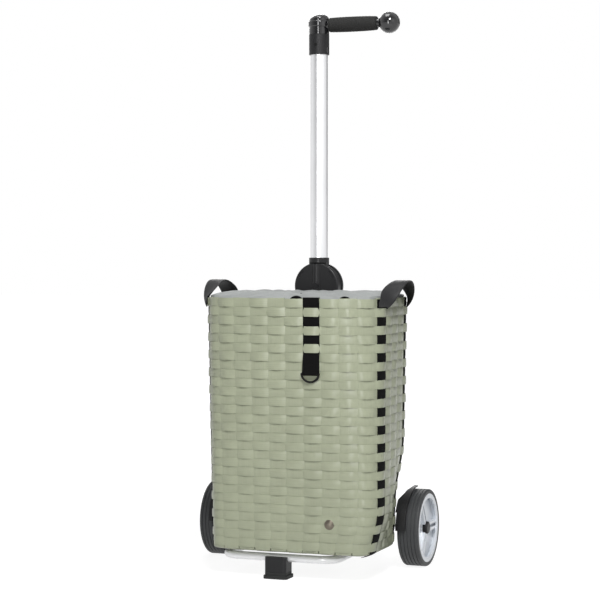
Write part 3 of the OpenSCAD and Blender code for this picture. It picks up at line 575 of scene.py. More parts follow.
@dataclass(frozen=True)
class Strap(Finish):
    """Flat extruded strap: fine lines along its length, on the strap's own UV map.

    Attributes:
        lines: Lines in a metre along and across the strap.
        line_depth: How deep a line is.
        line_tone: How far a line darkens the colour.
    """

    lines: tuple[float, float, float] = (7.0, 520.0, 1.0)
    line_depth: float = 0.10 * MM
    line_tone: float = 0.05

    def paint(self, graph: Graph, shader: bpy.types.Node) -> None:
        """Adds the lines to the colour, the roughness and the normal."""
        lines = graph.group(drawn_streaks_group(), {"Vector": graph.place("UV"), "Scale": self.lines})
        shade = graph.spread(lines, 1.0 - self.line_tone, 1.0 + self.line_tone, 0.0, 1.0)
        color = graph.scaled(self.tinted(graph), shade)
        self.wire(graph, shader, color=color, roughness=self.roughened(graph),
                  normal=self.bumped(graph, lines, self.line_depth, 0.5))


@dataclass(frozen=True)
class Woven(Finish):
    """Woven tape or cloth, on the piece's own UV map in metres.

    Attributes:
        warp: Pitch of the threads along the map's first axis.
        weft: Pitch of the threads along its second axis.
        thread_depth: How far a thread stands up.
        gap_shade: Painted shade in the gaps between threads: how dark they are, as a share of the colour.
    """

    warp: float = 1.2 * MM
    weft: float = 0.9 * MM
    thread_depth: float = 0.25 * MM
    gap_shade: float = 0.45

    def paint(self, graph: Graph, shader: bpy.types.Node) -> None:
        """Paints shade into the gaps between threads and raises the threads."""
        values = {"Vector": graph.place("UV"), "Warp": self.warp, "Weft": self.weft}
        height = graph.group(plain_weave_group(), values)
        # Painted shade: the colour darkens where the weave lies low, in the gaps between threads.
        shade = graph.spread(height, self.gap_shade, 1.0, 0.0, 0.8)
        color = graph.scaled(self.tinted(graph), shade)
        self.wire(graph, shader, color=color, roughness=self.roughened(graph),
                  normal=self.bumped(graph, height, self.thread_depth, 0.7))


METAL = ("Metallic", 1.0)
DULL = ("Specular IOR Level", 0.3)
FINISHES: dict[Slot, Finish] = {finish.slot: finish for finish in (
    Drawn(Slot.ANODISED, (0.90, 0.905, 0.92), 0.34, drift=0.02, rough_drift=0.08, settings=(METAL,)),
    Drawn(Slot.BRIGHT_TUBE, (0.90, 0.905, 0.915), 0.36, drift=0.02, rough_drift=0.08,
          lines=(300.0, 300.0, 300.0), settings=(("Metallic", 0.35),)),
    Drawn(Slot.STEEL, (0.60, 0.61, 0.63), 0.32, lines=(500.0, 500.0, 500.0), settings=(METAL,)),
    Moulded(Slot.BLACK_PLASTIC, (0.011, 0.011, 0.012), 0.44, settings=(DULL,)),
    Moulded(Slot.JOINT_PLASTIC, (0.017, 0.017, 0.018), 0.36, grain=2200.0, grain_depth=0.03 * MM,
            settings=(DULL,)),
    Moulded(Slot.GLOSS_BLACK, (0.008, 0.008, 0.009), 0.14, rough_drift=0.06, grain=300.0,
            grain_depth=0.01 * MM, settings=(("Coat Weight", 0.5), ("Coat Roughness", 0.05))),
    Moulded(Slot.FOAM, (0.016, 0.016, 0.0155), 0.85, grain=1300.0, grain_depth=0.22 * MM, settings=(DULL,)),
    Moulded(Slot.SOLE_RUBBER, (0.020, 0.021, 0.021), 0.66, grain=900.0, grain_depth=0.08 * MM,
            settings=(DULL,)),
    Moulded(Slot.TYRE_RUBBER, (0.032, 0.034, 0.036), 0.56, drift=0.12, grain=1100.0, grain_depth=0.06 * MM),
    Moulded(Slot.WHEEL_SILVER, (0.73, 0.76, 0.80), 0.32, drift=0.03, grain=2600.0, grain_depth=0.02 * MM,
            settings=(("Metallic", 0.25),)),
    Strap(Slot.SAGE_STRAP, (0.330, 0.353, 0.252), 0.24, drift=0.05, drift_scale=22.0,
          settings=(("Specular IOR Level", 0.32),)),
    Woven(Slot.BLACK_WEBBING, (0.005, 0.005, 0.005), 0.78, settings=(("Specular IOR Level", 0.08),)),
    Moulded(Slot.BLACK_BAND, (0.014, 0.014, 0.015), 0.50, grain=700.0, grain_depth=0.12 * MM,
            settings=(DULL,)),
    Woven(Slot.GREY_CLOTH, (0.325, 0.339, 0.334), 0.74, warp=0.8 * MM, weft=0.8 * MM, thread_depth=0.1 * MM,
          gap_shade=0.8),
    Drawn(Slot.ANTIQUE_METAL, (0.17, 0.15, 0.12), 0.42, drift=0.25, drift_scale=120.0,
          lines=(400.0, 400.0, 400.0), settings=(("Metallic", 0.9),)),
    Moulded(Slot.BLACK_WIRE, (0.006, 0.006, 0.006), 0.55, grain=900.0, grain_depth=0.03 * MM,
            settings=(("Specular IOR Level", 0.15),)),
)}


def place_piece(piece: bpy.types.Object, body: str, slot: Slot, *nodes: str) -> bpy.types.Object:
    """Finishes a new piece: gives it its slot's material, moves it with its body and hides the nodes that it
    stands for.

    Args:
        piece: The new piece, at the origin.
        body: The body that it moves with.
        slot: The finish that it gets.
        nodes: The frame's nodes that it replaces.

    Returns:
        The same piece.
    """
    dress(piece, FINISHES[slot].build())
    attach(piece, body)
    if nodes:
        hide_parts(*nodes)
    LOG.info("%s: %d faces on %s", piece.name, len(piece.data.polygons), body)
    return piece


def dress_frame() -> None:
    """Puts its slot's finish on every node that is still shown."""
    for subpart in frame["record"]["subparts"]:
        node = NODES[subpart["node"]]
        if not node.hide_render:
            dress(node, FINISHES[Slot(subpart["material_slot"])].build())
            smooth(node, NODE_SHARP)


# Basket

@dataclass
class Plan:
    """The basket's rounded plan outline, measured along its own length from the middle of the front.

    Attributes:
        centre: The basket's middle.
        half_w: Half the width, across X.
        half_d: Half the depth, across Y.
        front: Exponent of the rounded front corners: 2 is an ellipse, and higher is squarer.
        back: The same for the back corners.
        samples: Points that the outline is measured with.
        points: These points, from the basket's middle.
        reach: Length of the outline up to each of them.
    """

    centre: Vector
    half_w: float = 178.0 * MM
    half_d: float = 115.0 * MM
    front: float = 4.0
    back: float = 6.0
    samples: int = 1440
    points: list[Vector] = field(default_factory=list)
    reach: list[float] = field(default_factory=list)

    def __post_init__(self) -> None:
        """Measures the outline."""
        for step in range(self.samples + 1):
            angle = math.tau * step / self.samples - math.pi / 2
            corner = self.corner(math.sin(angle))
            x = self.half_w * eased(math.cos(angle), 2 / corner)
            y = self.half_d * eased(math.sin(angle), 2 / corner)
            self.points.append(Vector((x, y, 0.0)))
            gap = (self.points[-1] - self.points[-2]).length if step else 0.0
            self.reach.append(self.reach[-1] + gap if step else 0.0)

    @property
    def length(self) -> float:
        """Length of the whole outline."""
        return self.reach[-1]

    def corner(self, y: float) -> float:
        """Exponent of the outline in front of the basket's middle or behind it."""
        return self.front if y < 0 else self.back

    def at(self, share: float) -> tuple[Vector, Vector]:
        """Finds a place on the outline.

        Args:
            share: Share of the outline's length, from the middle of the front towards +X.

        Returns:
            The point from the basket's middle, and the outward normal there.
        """
        goal = (share % 1.0) * self.length
        low, high = 0, self.samples
        while high - low > 1:
            middle = (low + high) // 2
            low, high = (middle, high) if self.reach[middle] <= goal else (low, middle)
        span = self.reach[high] - self.reach[low]
        point = self.points[low].lerp(self.points[high], (goal - self.reach[low]) / span if span else 0.0)
        power = self.corner(point.y) - 1
        normal = Vector((eased(point.x / self.half_w, power) / self.half_w,
                         eased(point.y / self.half_d, power) / self.half_d, 0.0))
        return point, normal.normalized()


@dataclass
class Basket:
    """The woven wall: upright stakes and level weavers of flat strap, with webbing woven in on some stakes.

    Attributes:
        stakes: How many stakes stand round the wall.
        rows: How many weavers lie between the base and the rim, the rim's own among them.
        base_scale: How much smaller the plan is at the base.
        strap: Thickness of a strap.
        stake_w: Width of a stake.
        row_gap: Gap between one weaver and the next.
        play: Room between straps that lie on each other.
        weaver_swing: How far a weaver moves in and out as it passes the stakes, at the rim.
        slack: Share of that swing that is left at the base, where the weave is drawn tighter.
        swing_drift: How unevenly the weavers swing, as a share.
        stake_swing: How far a stake moves in and out as it passes the weavers.
        stake_sway: How far a stake wavers sideways.
        sway_rate: How fast it does, in radians for each row.
        sways: Waves of a weaver's waver up and down: how many run round the wall, and how high each is.
        crown: How far a strap's edges lie behind its middle.
        shingle: How far the foot of a raised weaver stands proud of its top.
        shingle_drift: How unevenly it does, as a share.
        flat: Shape of the passes: lower is flatter on top.
        stud_calm: Share of the swing that is lost under the stud.
        stud_r: How far round the stud that reaches.
        webbing: Thickness of the webbing.
        front_webbing_w: Width of the webbing at the front.
        side_webbing_w: Width of the webbing at the sides.
        front_i: The stake that the front webbing lies on.
        side_i: The stakes on the right that the side webbing lies on.
        tab_rows: Rows at which the front webbing leaves the wall, its tab bends out and its end is sewn down.
        tape_top: How far the webbing's woven part ends below the rim.
        hem_in: How far inside the middle plane the front webbing's upper end lies.
        hem_down: How far it reaches down there.
        hem_up: How far its fold stands above the rim.
        tab_out: How far outside the middle plane its tab starts.
        tab_up: How far above the ring's bar the tab's front and back runs bend towards it.
        ring_r: Radius of that bar.
        wrap: Distance from the bar to the tab's middle plane, in thicknesses of the webbing.
        ring_steps: Mesh steps round it.
        stake_drop: How far a stake's top lies below the rim's.
        fold_up: How far a folded stake's end rises above that.
        fold: How far it reaches down inside the rim.
        turn_in: How far a stake runs in under the base.
        tape_in: How far the side webbing does.
        sag: Where the middle of such an end lies, as a share of its reach.
        heel: How far in and how far up the wall's lower edge is rounded.
        foot_lift: How high the stakes' ends lie above the base board's underside.
        foot_drop: How far the wall's lower edge hangs below the first row.
        foot_corners: Exponents of the plan's front and back corners at the base.
        base_straps: How many straps of the base run along X and along Y.
        base_inset: How far these end inside the wall.
        base_corner: Exponent of the outline that they fill.
        base_lift: How high they lie above the stakes' ends.
        base_swing: How far they swing, in swings of a stake.
        bulge: Share of the taper that the hanging basket's right side and back don't follow.
        bulge_z: Heights between which that sets in, ahead of the wheel guard and beside it.
        guard_y: From where to where, behind the basket's middle, the wall comes to lie beside the guard.
        cell_steps: Mesh steps along one crossing.
        across: Mesh steps across a weaver, one more than across the other straps.
        plan: The wall's outline at the rim, with its place from the frame.
    """

    stakes: int = 30
    rows: int = 28
    base_scale: float = 0.90
    strap: float = 0.8 * MM
    stake_w: float = 33.4 * MM
    row_gap: float = 0.5 * MM
    play: float = 0.2 * MM
    weaver_swing: float = 3.0 * MM
    slack: float = 0.6
    swing_drift: float = 0.16
    stake_swing: float = 0.4 * MM
    stake_sway: float = 0.4 * MM
    sway_rate: float = 0.9
    sways: tuple[tuple[int, float], ...] = ((2, 0.30 * MM), (3, 0.25 * MM), (5, 0.18 * MM), (11, 0.12 * MM))
    crown: float = 0.4 * MM
    shingle: float = 0.6 * MM
    shingle_drift: float = 0.7
    flat: float = 0.9
    stud_calm: float = 0.8
    stud_r: float = 19.0 * MM
    webbing: float = 0.9 * MM
    front_webbing_w: float = 32.0 * MM
    side_webbing_w: float = 28.0 * MM
    front_i: int = 1
    side_i: tuple[int, int] = (5, 9)
    tab_rows: tuple[float, float, float] = (21.6, 21.0, 20.6)
    tape_top: float = 1.0 * MM
    hem_in: float = 3.4 * MM
    hem_down: float = 30.0 * MM
    hem_up: float = 1.9 * MM
    tab_out: float = 3.6 * MM
    tab_up: Pair = (9.0 * MM, 8.0 * MM)
    ring_r: float = 2.0 * MM
    wrap: float = 0.7
    ring_steps: int = 12
    stake_drop: float = 1.2 * MM
    fold_up: float = 1.6 * MM
    fold: float = 20.0 * MM
    turn_in: float = 34.0 * MM
    tape_in: float = 20.4 * MM
    sag: float = 0.4
    heel: Pair = (2.0 * MM, 1.5 * MM)
    foot_lift: float = 0.6 * MM
    foot_drop: float = 5.5 * MM
    foot_corners: Pair = (8.0, 4.0)
    base_straps: tuple[int, int] = (5, 8)
    base_inset: float = 26.0 * MM
    base_corner: float = 5.0
    base_lift: float = 2.6 * MM
    base_swing: float = 1.4
    bulge: float = 0.9
    bulge_z: tuple[Pair, Pair] = ((50.0 * MM, 140.0 * MM), (150.0 * MM, 260.0 * MM))
    guard_y: Pair = (-20.0 * MM, 40.0 * MM)
    cell_steps: int = 8
    across: int = 5
    plan: Plan = field(init=False)

    def __post_init__(self) -> None:
        """Takes the wall's place from the frame."""
        self.stud = middle_of("stud")
        self.plan = Plan(middle_of("base_board"))
        front, back = self.foot_corners
        self.foot_plan = Plan(self.plan.centre, front=front, back=back)
        self.foot_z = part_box("base_board")[0].z + self.foot_lift
        self.base_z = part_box("stakes_green")[0].z
        self.rim_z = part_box("rim_band")[1].z
        self.row_h = (self.rim_z - self.base_z) / self.rows
        self.webbed = {self.front_i, *self.side_i, *(self.stakes - 1 - i for i in self.side_i)}
        self.chance = random.Random(SEED)
        self.cells = [[self.chance.uniform(-1, 1) for _ in range(self.stakes)] for _ in range(self.rows + 1)]
        self.waver = [[self.chance.uniform(0, math.tau) for _ in self.sways] for _ in range(self.rows + 1)]

    def rise(self, z: float) -> float:
        """Share of the way from the base to the rim at a height."""
        return (z - self.base_z) / (self.rim_z - self.base_z)

    def wall(self, share: float, z: float, out: float) -> Vector:
        """A point of the wall.

        Args:
            share: Share of the way round.
            z: Height.
            out: How far outside the wall's middle plane.

        Returns:
            The point in the frame.
        """
        rise = min(max(self.rise(z), 0.0), 1.0)
        (foot, foot_normal), (rim, rim_normal) = self.foot_plan.at(share), self.plan.at(share)
        normal = foot_normal.lerp(rim_normal, rise).normalized()
        place = self.hung(foot.lerp(rim, rise), z) + normal * out + self.plan.centre
        return Vector((place.x, place.y, z))

    def hung(self, local: Vector, z: float) -> Vector:
        """Scales a point of the plan to its height, with the bulge of the right side and the back.

        Args:
            local: The point from the basket's middle.
            z: Its height.

        Returns:
            The scaled point.
        """
        ahead, behind = self.guard_y
        beside = smooth_step((local.y - ahead) / (behind - ahead))
        start, end = (early + (late - early) * beside for early, late in zip(*self.bulge_z))
        scale = self.base_scale + (1 - self.base_scale) * self.rise(z)
        loose = scale + (1 - scale) * self.bulge * smooth_step((z - start) / (end - start))
        return Vector([size * (loose if size > 0 else scale) for size in local])

    def share(self, stake: float) -> float:
        """Share of the way round at which a stake's middle stands."""
        return (stake + 0.5) / self.stakes

    def row_z(self, row: float) -> float:
        """Height of the middle of a row, counted from the base."""
        return self.base_z + (row + 0.5) * self.row_h

    def sway(self, row: int, turn: float) -> float:
        """A row's slight waver up and down on its way round."""
        return sum(size * math.sin(math.tau * count * turn + phase)
                   for (count, size), phase in zip(self.sways, self.waver[row]))

    def stake_lift(self, index: int, z: float) -> float:
        """How far a stake lies outside the wall's middle plane at a height."""
        row = min((z - self.base_z) / self.row_h - 0.5, self.rows - 1.0)
        return self.stake_swing * eased(math.cos(math.pi * (row + index)), self.flat)

    def calm(self, place: Vector) -> float:
        """How much of the swing is left at a place: little under the stud, and all of it farther away."""
        return 1.0 - self.stud_calm * math.exp(-((place - self.stud).length / self.stud_r) ** 4)

    def weaver(self, row: int) -> bpy.types.Object:
        """Models one level strap that passes over and under the stakes in turn.

        Args:
            row: The row, counted from the base.

        Returns:
            The strap, closed round the wall.
        """
        steps = self.stakes * self.cell_steps
        height = self.row_h - self.row_gap
        swing = self.weaver_swing * (self.slack + (1 - self.slack) * row / self.rows)
        shape: list[tuple[float, float, float]] = []
        for step in range(steps + 1):
            turn = step / steps
            stake = turn * self.stakes - 0.5
            cell = round(stake) % self.stakes
            pass_out = -eased(math.cos(math.pi * (stake + row)), self.flat)
            spare = self.webbing if cell in self.webbed and pass_out > 0 else 0.0
            lift = pass_out * (swing * (1 + self.swing_drift * self.cells[row][cell]) + spare)
            lift *= self.calm(self.wall(turn, self.row_z(row), 0.0))
            tilt = max(0.0, pass_out) * self.shingle * (1 + self.shingle_drift * self.cells[row][cell - 1])
            shape.append((lift, tilt, self.sway(row, turn)))

        def place(along: float, across: float) -> Vector:
            """Follows the wall with the pass, the crown and a foot that stands proud."""
            lift, tilt, waver = shape[round(along * steps)]
            side = 2 * across - 1
            z = self.row_z(row) + side * height / 2 + waver
            return self.wall(along, z, lift - self.crown * side * side - tilt * side / 2)

        return surface(f"weaver_{row}", (steps, self.across), place, (self.plan.length, height), closed=True)

    def stake(self, index: int) -> bpy.types.Object:
        """Models one upright strap. Every other one folds inwards over the rim.

        Args:
            index: The stake, counted from the middle of the front.

        Returns:
            The strap, from the base to its end at the rim.
        """
        folds = (self.rows - 1 + index) % 2 == 0
        top = self.rim_z - self.stake_drop
        steps = self.rows * self.cell_steps
        heights = [self.base_z + (top - self.base_z) * step / steps for step in range(steps + 1)]
        route: Route = [(z, self.stake_lift(index, z)) for z in heights]
        layer = self.foot_z + (index % 2) * (self.strap + self.play / 2)
        route = self.turned_in(layer, self.turn_in, route[0]) + route[1:]
        if folds:
            back, crest = -self.weaver_swing - self.strap - self.play, top + self.fold_up
            over = [(crest, self.stake_swing), (crest, back), (top, back), (top - self.fold, back)]
            route += rounded_route([route[-1], *over])[1:]
        span = self.stake_w / self.plan.length

        def place(along: float, across: float) -> Vector:
            """Passes the rows in turn."""
            z, lift = route[round(along * (len(route) - 1))]
            side = 2 * across - 1
            sway = self.stake_sway * math.sin(self.sway_rate * z / self.row_h + index)
            share = self.share(index) + side * span / 2 + sway / self.plan.length
            return self.wall(share, z, lift - self.crown * side * side)

        size = (top - self.base_z, self.stake_w)
        return surface(f"stake_{index}", (len(route) - 1, self.across - 1), place, size)

    def turned_in(self, level: float, reach: float, start: Pair) -> Route:
        """The route of a strap's end that turns in under the base.

        Args:
            level: Height at which the end lies.
            reach: How far in it goes.
            start: Where the strap leaves the wall, as a height and a distance from the middle plane.

        Returns:
            Heights and distances from the wall's middle plane, from the end to the wall.
        """
        edge = self.base_z - self.foot_drop
        heel_in, heel_up = self.heel
        return rounded_route([(level, -reach), ((level + edge) / 2, -self.sag * reach), (edge, -heel_in),
                              (edge + heel_up, 0.0), start])

    @property
    def base_pitch(self) -> float:
        """Distance from one strap of the base to the next."""
        return self.plan.length / self.stakes * self.base_scale

    def base_strap(self, along_x: bool, at: float, parity: int) -> bpy.types.Object:
        """Models one strap of the woven base.

        Args:
            along_x: Whether the strap runs along X, or else along Y.
            at: Its distance from the basket's middle.
            parity: Whether it passes over or under the first strap that it meets.

        Returns:
            The thin strap, from one side of the base to the other.
        """
        run, side = (self.plan.half_w, self.plan.half_d) if along_x else (self.plan.half_d, self.plan.half_w)
        run, side = run * self.base_scale - self.base_inset, side * self.base_scale
        half = run * (1 - (abs(at) / side) ** self.base_corner) ** (1 / self.base_corner)
        pitch, shift = self.base_pitch, 0.0 if along_x else 0.5
        steps = self.cell_steps * max(2, round(2 * half / pitch))

        def place(along: float, across: float) -> Vector:
            """Runs level, over and under the crossing straps."""
            far = (2 * along - 1) * half
            lift = self.stake_swing * math.cos(math.pi * (far / pitch + shift + parity))
            wide = at + (across - 0.5) * self.stake_w * self.base_scale
            x, y = (far, wide) if along_x else (wide, far)
            z = self.foot_z + self.base_lift + self.base_swing * lift
            return Vector((x + self.plan.centre.x, y + self.plan.centre.y, z))

        return surface("base_strap", (steps, self.across - 1), place, (2 * half, self.stake_w))

    def base(self) -> None:
        """Weaves the base that the stakes turn in under."""
        straps = [self.base_strap(along_x, (number - (count - 1) / 2) * self.base_pitch, number % 2)
                  for along_x, count in zip((True, False), self.base_straps) for number in range(count)]
        place_piece(thickened("woven_base", straps, self.strap), "frame", Slot.SAGE_STRAP, "base_board")

    def tape(self, name: str, index: int, width: float, route: Route) -> bpy.types.Object:
        """Models a flat webbing that runs up and down the wall at one stake.

        Args:
            name: The piece's name.
            index: The stake that the webbing lies on.
            width: Its width.
            route: Heights and distances from the wall's middle plane that it passes.

        Returns:
            The webbing, with its thickness.
        """
        span = width / self.plan.length

        def place(along: float, across: float) -> Vector:
            """Follows the route."""
            z, out = route[round(along * (len(route) - 1))]
            return self.wall(self.share(index) + (across - 0.5) * span, z, out)

        piece = surface(name, (len(route) - 1, self.across - 1), place, (route_length(route), width))
        return thickened(name, [piece], self.webbing)

    def beside_stake(self, index: int, low: float, high: float) -> Route:
        """The route of a webbing that passes the rows with its stake, on the stake's outer face.

        Args:
            index: The stake.
            low: Where the route starts.
            high: Where it ends.

        Returns:
            Heights and distances from the wall's middle plane.
        """
        steps = max(2, round((high - low) / self.row_h * self.cell_steps))
        heights = [low + (high - low) * step / steps for step in range(steps + 1)]
        proud = (self.strap + self.webbing) / 2 + self.play / 4
        return [(z, self.stake_lift(index, z) + proud) for z in heights]

    def straps(self) -> None:
        """Weaves the wall."""
        for parity, word in enumerate(("even", "odd")):
            rows = [self.weaver(row) for row in range(parity, self.rows - 1, 2)]
            piece = thickened(f"woven_rows_{word}", rows, self.strap)
            place_piece(piece, "frame", Slot.SAGE_STRAP, f"weavers_{word}")
        stakes = [self.stake(index) for index in range(self.stakes)]
        place_piece(thickened("woven_stakes", stakes, self.strap), "frame", Slot.SAGE_STRAP, "stakes_green")
        rim = thickened("rim_row", [self.weaver(self.rows - 1)], self.strap)
        place_piece(rim, "frame", Slot.SAGE_STRAP, "rim_band")

    def side_webbing(self, side: Side) -> None:
        """Weaves in the two webbings of one side, up to the handle's feet."""
        stakes = [i if side is Side.RIGHT else self.stakes - 1 - i for i in self.side_i]
        tapes = []
        for i in stakes:
            route = self.beside_stake(i, self.base_z, self.rim_z - self.tape_top)
            route = self.turned_in(self.foot_z - self.webbing, self.tape_in, route[0]) + route[1:]
            tapes.append(self.tape(f"side_tape_{i}", i, self.side_webbing_w, route))
        piece = joined(f"side_tape_{side.word}", tapes)
        place_piece(piece, "frame", Slot.BLACK_WEBBING, f"side_webbing_{side.word}")

    def front_webbing(self) -> None:
        """Weaves in the front webbing, from its fold over the rim to its loop round the ring's bar."""
        hinge = next(joint for joint in frame["record"]["behaviour"]["joints"] if joint["child"] == "d_ring")
        bar = Vector(hinge["pos_m"])
        share = self.share(self.front_i)
        bar_out = (bar - self.wall(share, bar.z, 0.0)).dot(self.plan.at(share)[1])
        loop_r = self.ring_r + self.wrap * self.webbing
        leave_z, bend_z, sewn_z = (self.row_z(row) for row in self.tab_rows)
        woven = self.beside_stake(self.front_i, leave_z, self.rim_z - self.tape_top)
        crest = self.rim_z + self.hem_up
        over = rounded_route([(self.rim_z - self.hem_down, -self.hem_in), (crest, -self.hem_in),
                              (crest, woven[-1][1]), woven[-1]])
        front_z, back_z = (bar.z + up for up in self.tab_up)
        tab = rounded_route([woven[0], (bend_z, self.tab_out), (front_z, bar_out + 0.8 * loop_r),
                             (bar.z, bar_out + loop_r)])
        turns = [math.pi * step / self.ring_steps for step in range(self.ring_steps + 1)]
        loop = [(bar.z - loop_r * math.sin(turn), bar_out + loop_r * math.cos(turn)) for turn in turns]
        back = [(back_z, bar_out - loop_r), (sewn_z, bar_out - loop_r)]
        route = over + woven[-2:0:-1] + tab + loop[1:] + back
        piece = self.tape("front_tape", self.front_i, self.front_webbing_w, route)
        place_piece(piece, "frame", Slot.BLACK_WEBBING, "front_webbing")

    def build(self) -> None:
        """Models and dresses the whole wall."""
        self.straps()
        self.base()
        for side in Side:
            self.side_webbing(side)
        self.front_webbing()


HANDLE_LEAN = {Side.LEFT: 5.0 * MM, Side.RIGHT: 13.0 * MM}


@dataclass
class LoopHandle:
    """A carrying band that leaves the wall at two stakes and turns its face up at the top.

    Attributes:
        basket: The wall that it is fixed to.
        side: Which side it is on.
        lean: How far its top leans outwards.
        width: Width of the band.
        thick: Thickness of the band.
        rise: How far its top stands above the rim.
        sunk: How far below the rim the band starts to lean.
        proud: How far its feet's middle lies outside the wall's middle plane.
        foot: How far its feet reach on below that.
        shown: Share of a foot's length that is modelled.
        arch: Share of a parabola in its bow, the rest being half a sine wave.
        end_thick: Thickness of its ends, as a share of the band's.
        thicken: How fast the thickness grows from there, for each share of the band's length.
        section: Exponents of its section, across it and through it: lower is squarer.
        length: Length that its texture is scaled to.
        steps: Mesh steps along the band and round it.
    """

    basket: Basket
    side: Side
    lean: float
    width: float = 31.0 * MM
    thick: float = 3.0 * MM
    rise: float = 32.0 * MM
    sunk: float = 9.0 * MM
    proud: float = 4.8 * MM
    foot: float = 7.0 * MM
    shown: float = 0.9
    arch: float = 0.7
    end_thick: float = 0.4
    thicken: float = 8.0
    section: Pair = (0.32, 0.7)
    length: float = 200.0 * MM
    steps: tuple[int, int] = (96, 40)

    def foot_at(self, end: int) -> tuple[Vector, Vector]:
        """A foot's place from the basket's middle, and the direction along the wall there."""
        point, normal = self.basket.plan.at(self.basket.share(self.basket.side_i[end]))
        return point + normal * self.proud, Vector((-normal.y, normal.x, 0.0))

    def middle(self, turn: float) -> Vector:
        """The band's middle line, from one rim to the other as turn goes from 0 to 1."""
        (start, _), (end, _) = self.foot_at(0), self.foot_at(1)
        bow = self.arch * 4 * turn * (1 - turn) + (1 - self.arch) * math.sin(math.pi * turn)
        place = start.lerp(end, turn) + Vector((self.lean * bow, 0.0, 0.0))
        return Vector((place.x, place.y, self.basket.rim_z - self.sunk + (self.rise + self.sunk) * bow))

    def frame_at(self, turn: float) -> tuple[Vector, Vector, Vector]:
        """The middle line's point, the direction across the band and its face's normal.

        Args:
            turn: From 0 to 1 on the arch, and beyond that on its feet, in shares of a foot's length.

        Returns:
            The point and the two directions, from the basket's middle and for the right side.
        """
        held = min(max(turn, 0.0), 1.0)
        point, step = self.middle(held), 0.005
        ahead = self.middle(min(held + step, 1.0)) - self.middle(max(held - step, 0.0))
        if turn != held:
            point.z -= self.foot * abs(turn - held)
            ahead = Vector((0.0, 0.0, 1.0 if turn < 0.5 else -1.0))
        ahead.normalize()
        twist = 2 * held - 1
        phi = math.pi / 2 * (1 + eased(twist, 2.0))
        along = self.foot_at(0 if held < 0.5 else 1)[1]
        raw = along * math.cos(phi) + Vector((math.sin(phi), 0.0, 0.0))
        across = (raw - ahead * raw.dot(ahead)).normalized()
        return point, across, ahead.cross(across)

    def build(self) -> None:
        """Models and dresses the band."""
        along, around = self.steps
        start, span = -self.shown, 1 + 2 * self.shown
        frames = [self.frame_at(start + span * step / along) for step in range(along + 1)]
        shift = self.basket.plan.centre
        flat, deep = self.section

        def place(turn: float, share: float) -> Vector:
            """Sweeps a rounded flat section along the band."""
            point, across, normal = frames[round(share * along)]
            angle = math.tau * turn
            tucked = min(1.0, self.end_thick + self.thicken * min(share, 1 - share))
            reach = self.width / 2 * eased(math.cos(angle), flat)
            puff = self.thick / 2 * tucked * eased(math.sin(angle), deep)
            local = point + across * reach + normal * puff
            return Vector((local.x * self.side.value + shift.x, local.y + shift.y, local.z))

        size = (2 * self.width, self.length)
        piece = swept(f"handle_band_{self.side.word}", (around, along), place, size, sharp=60.0)
        place_piece(piece, "frame", Slot.BLACK_BAND, f"loop_handle_{self.side.word}")


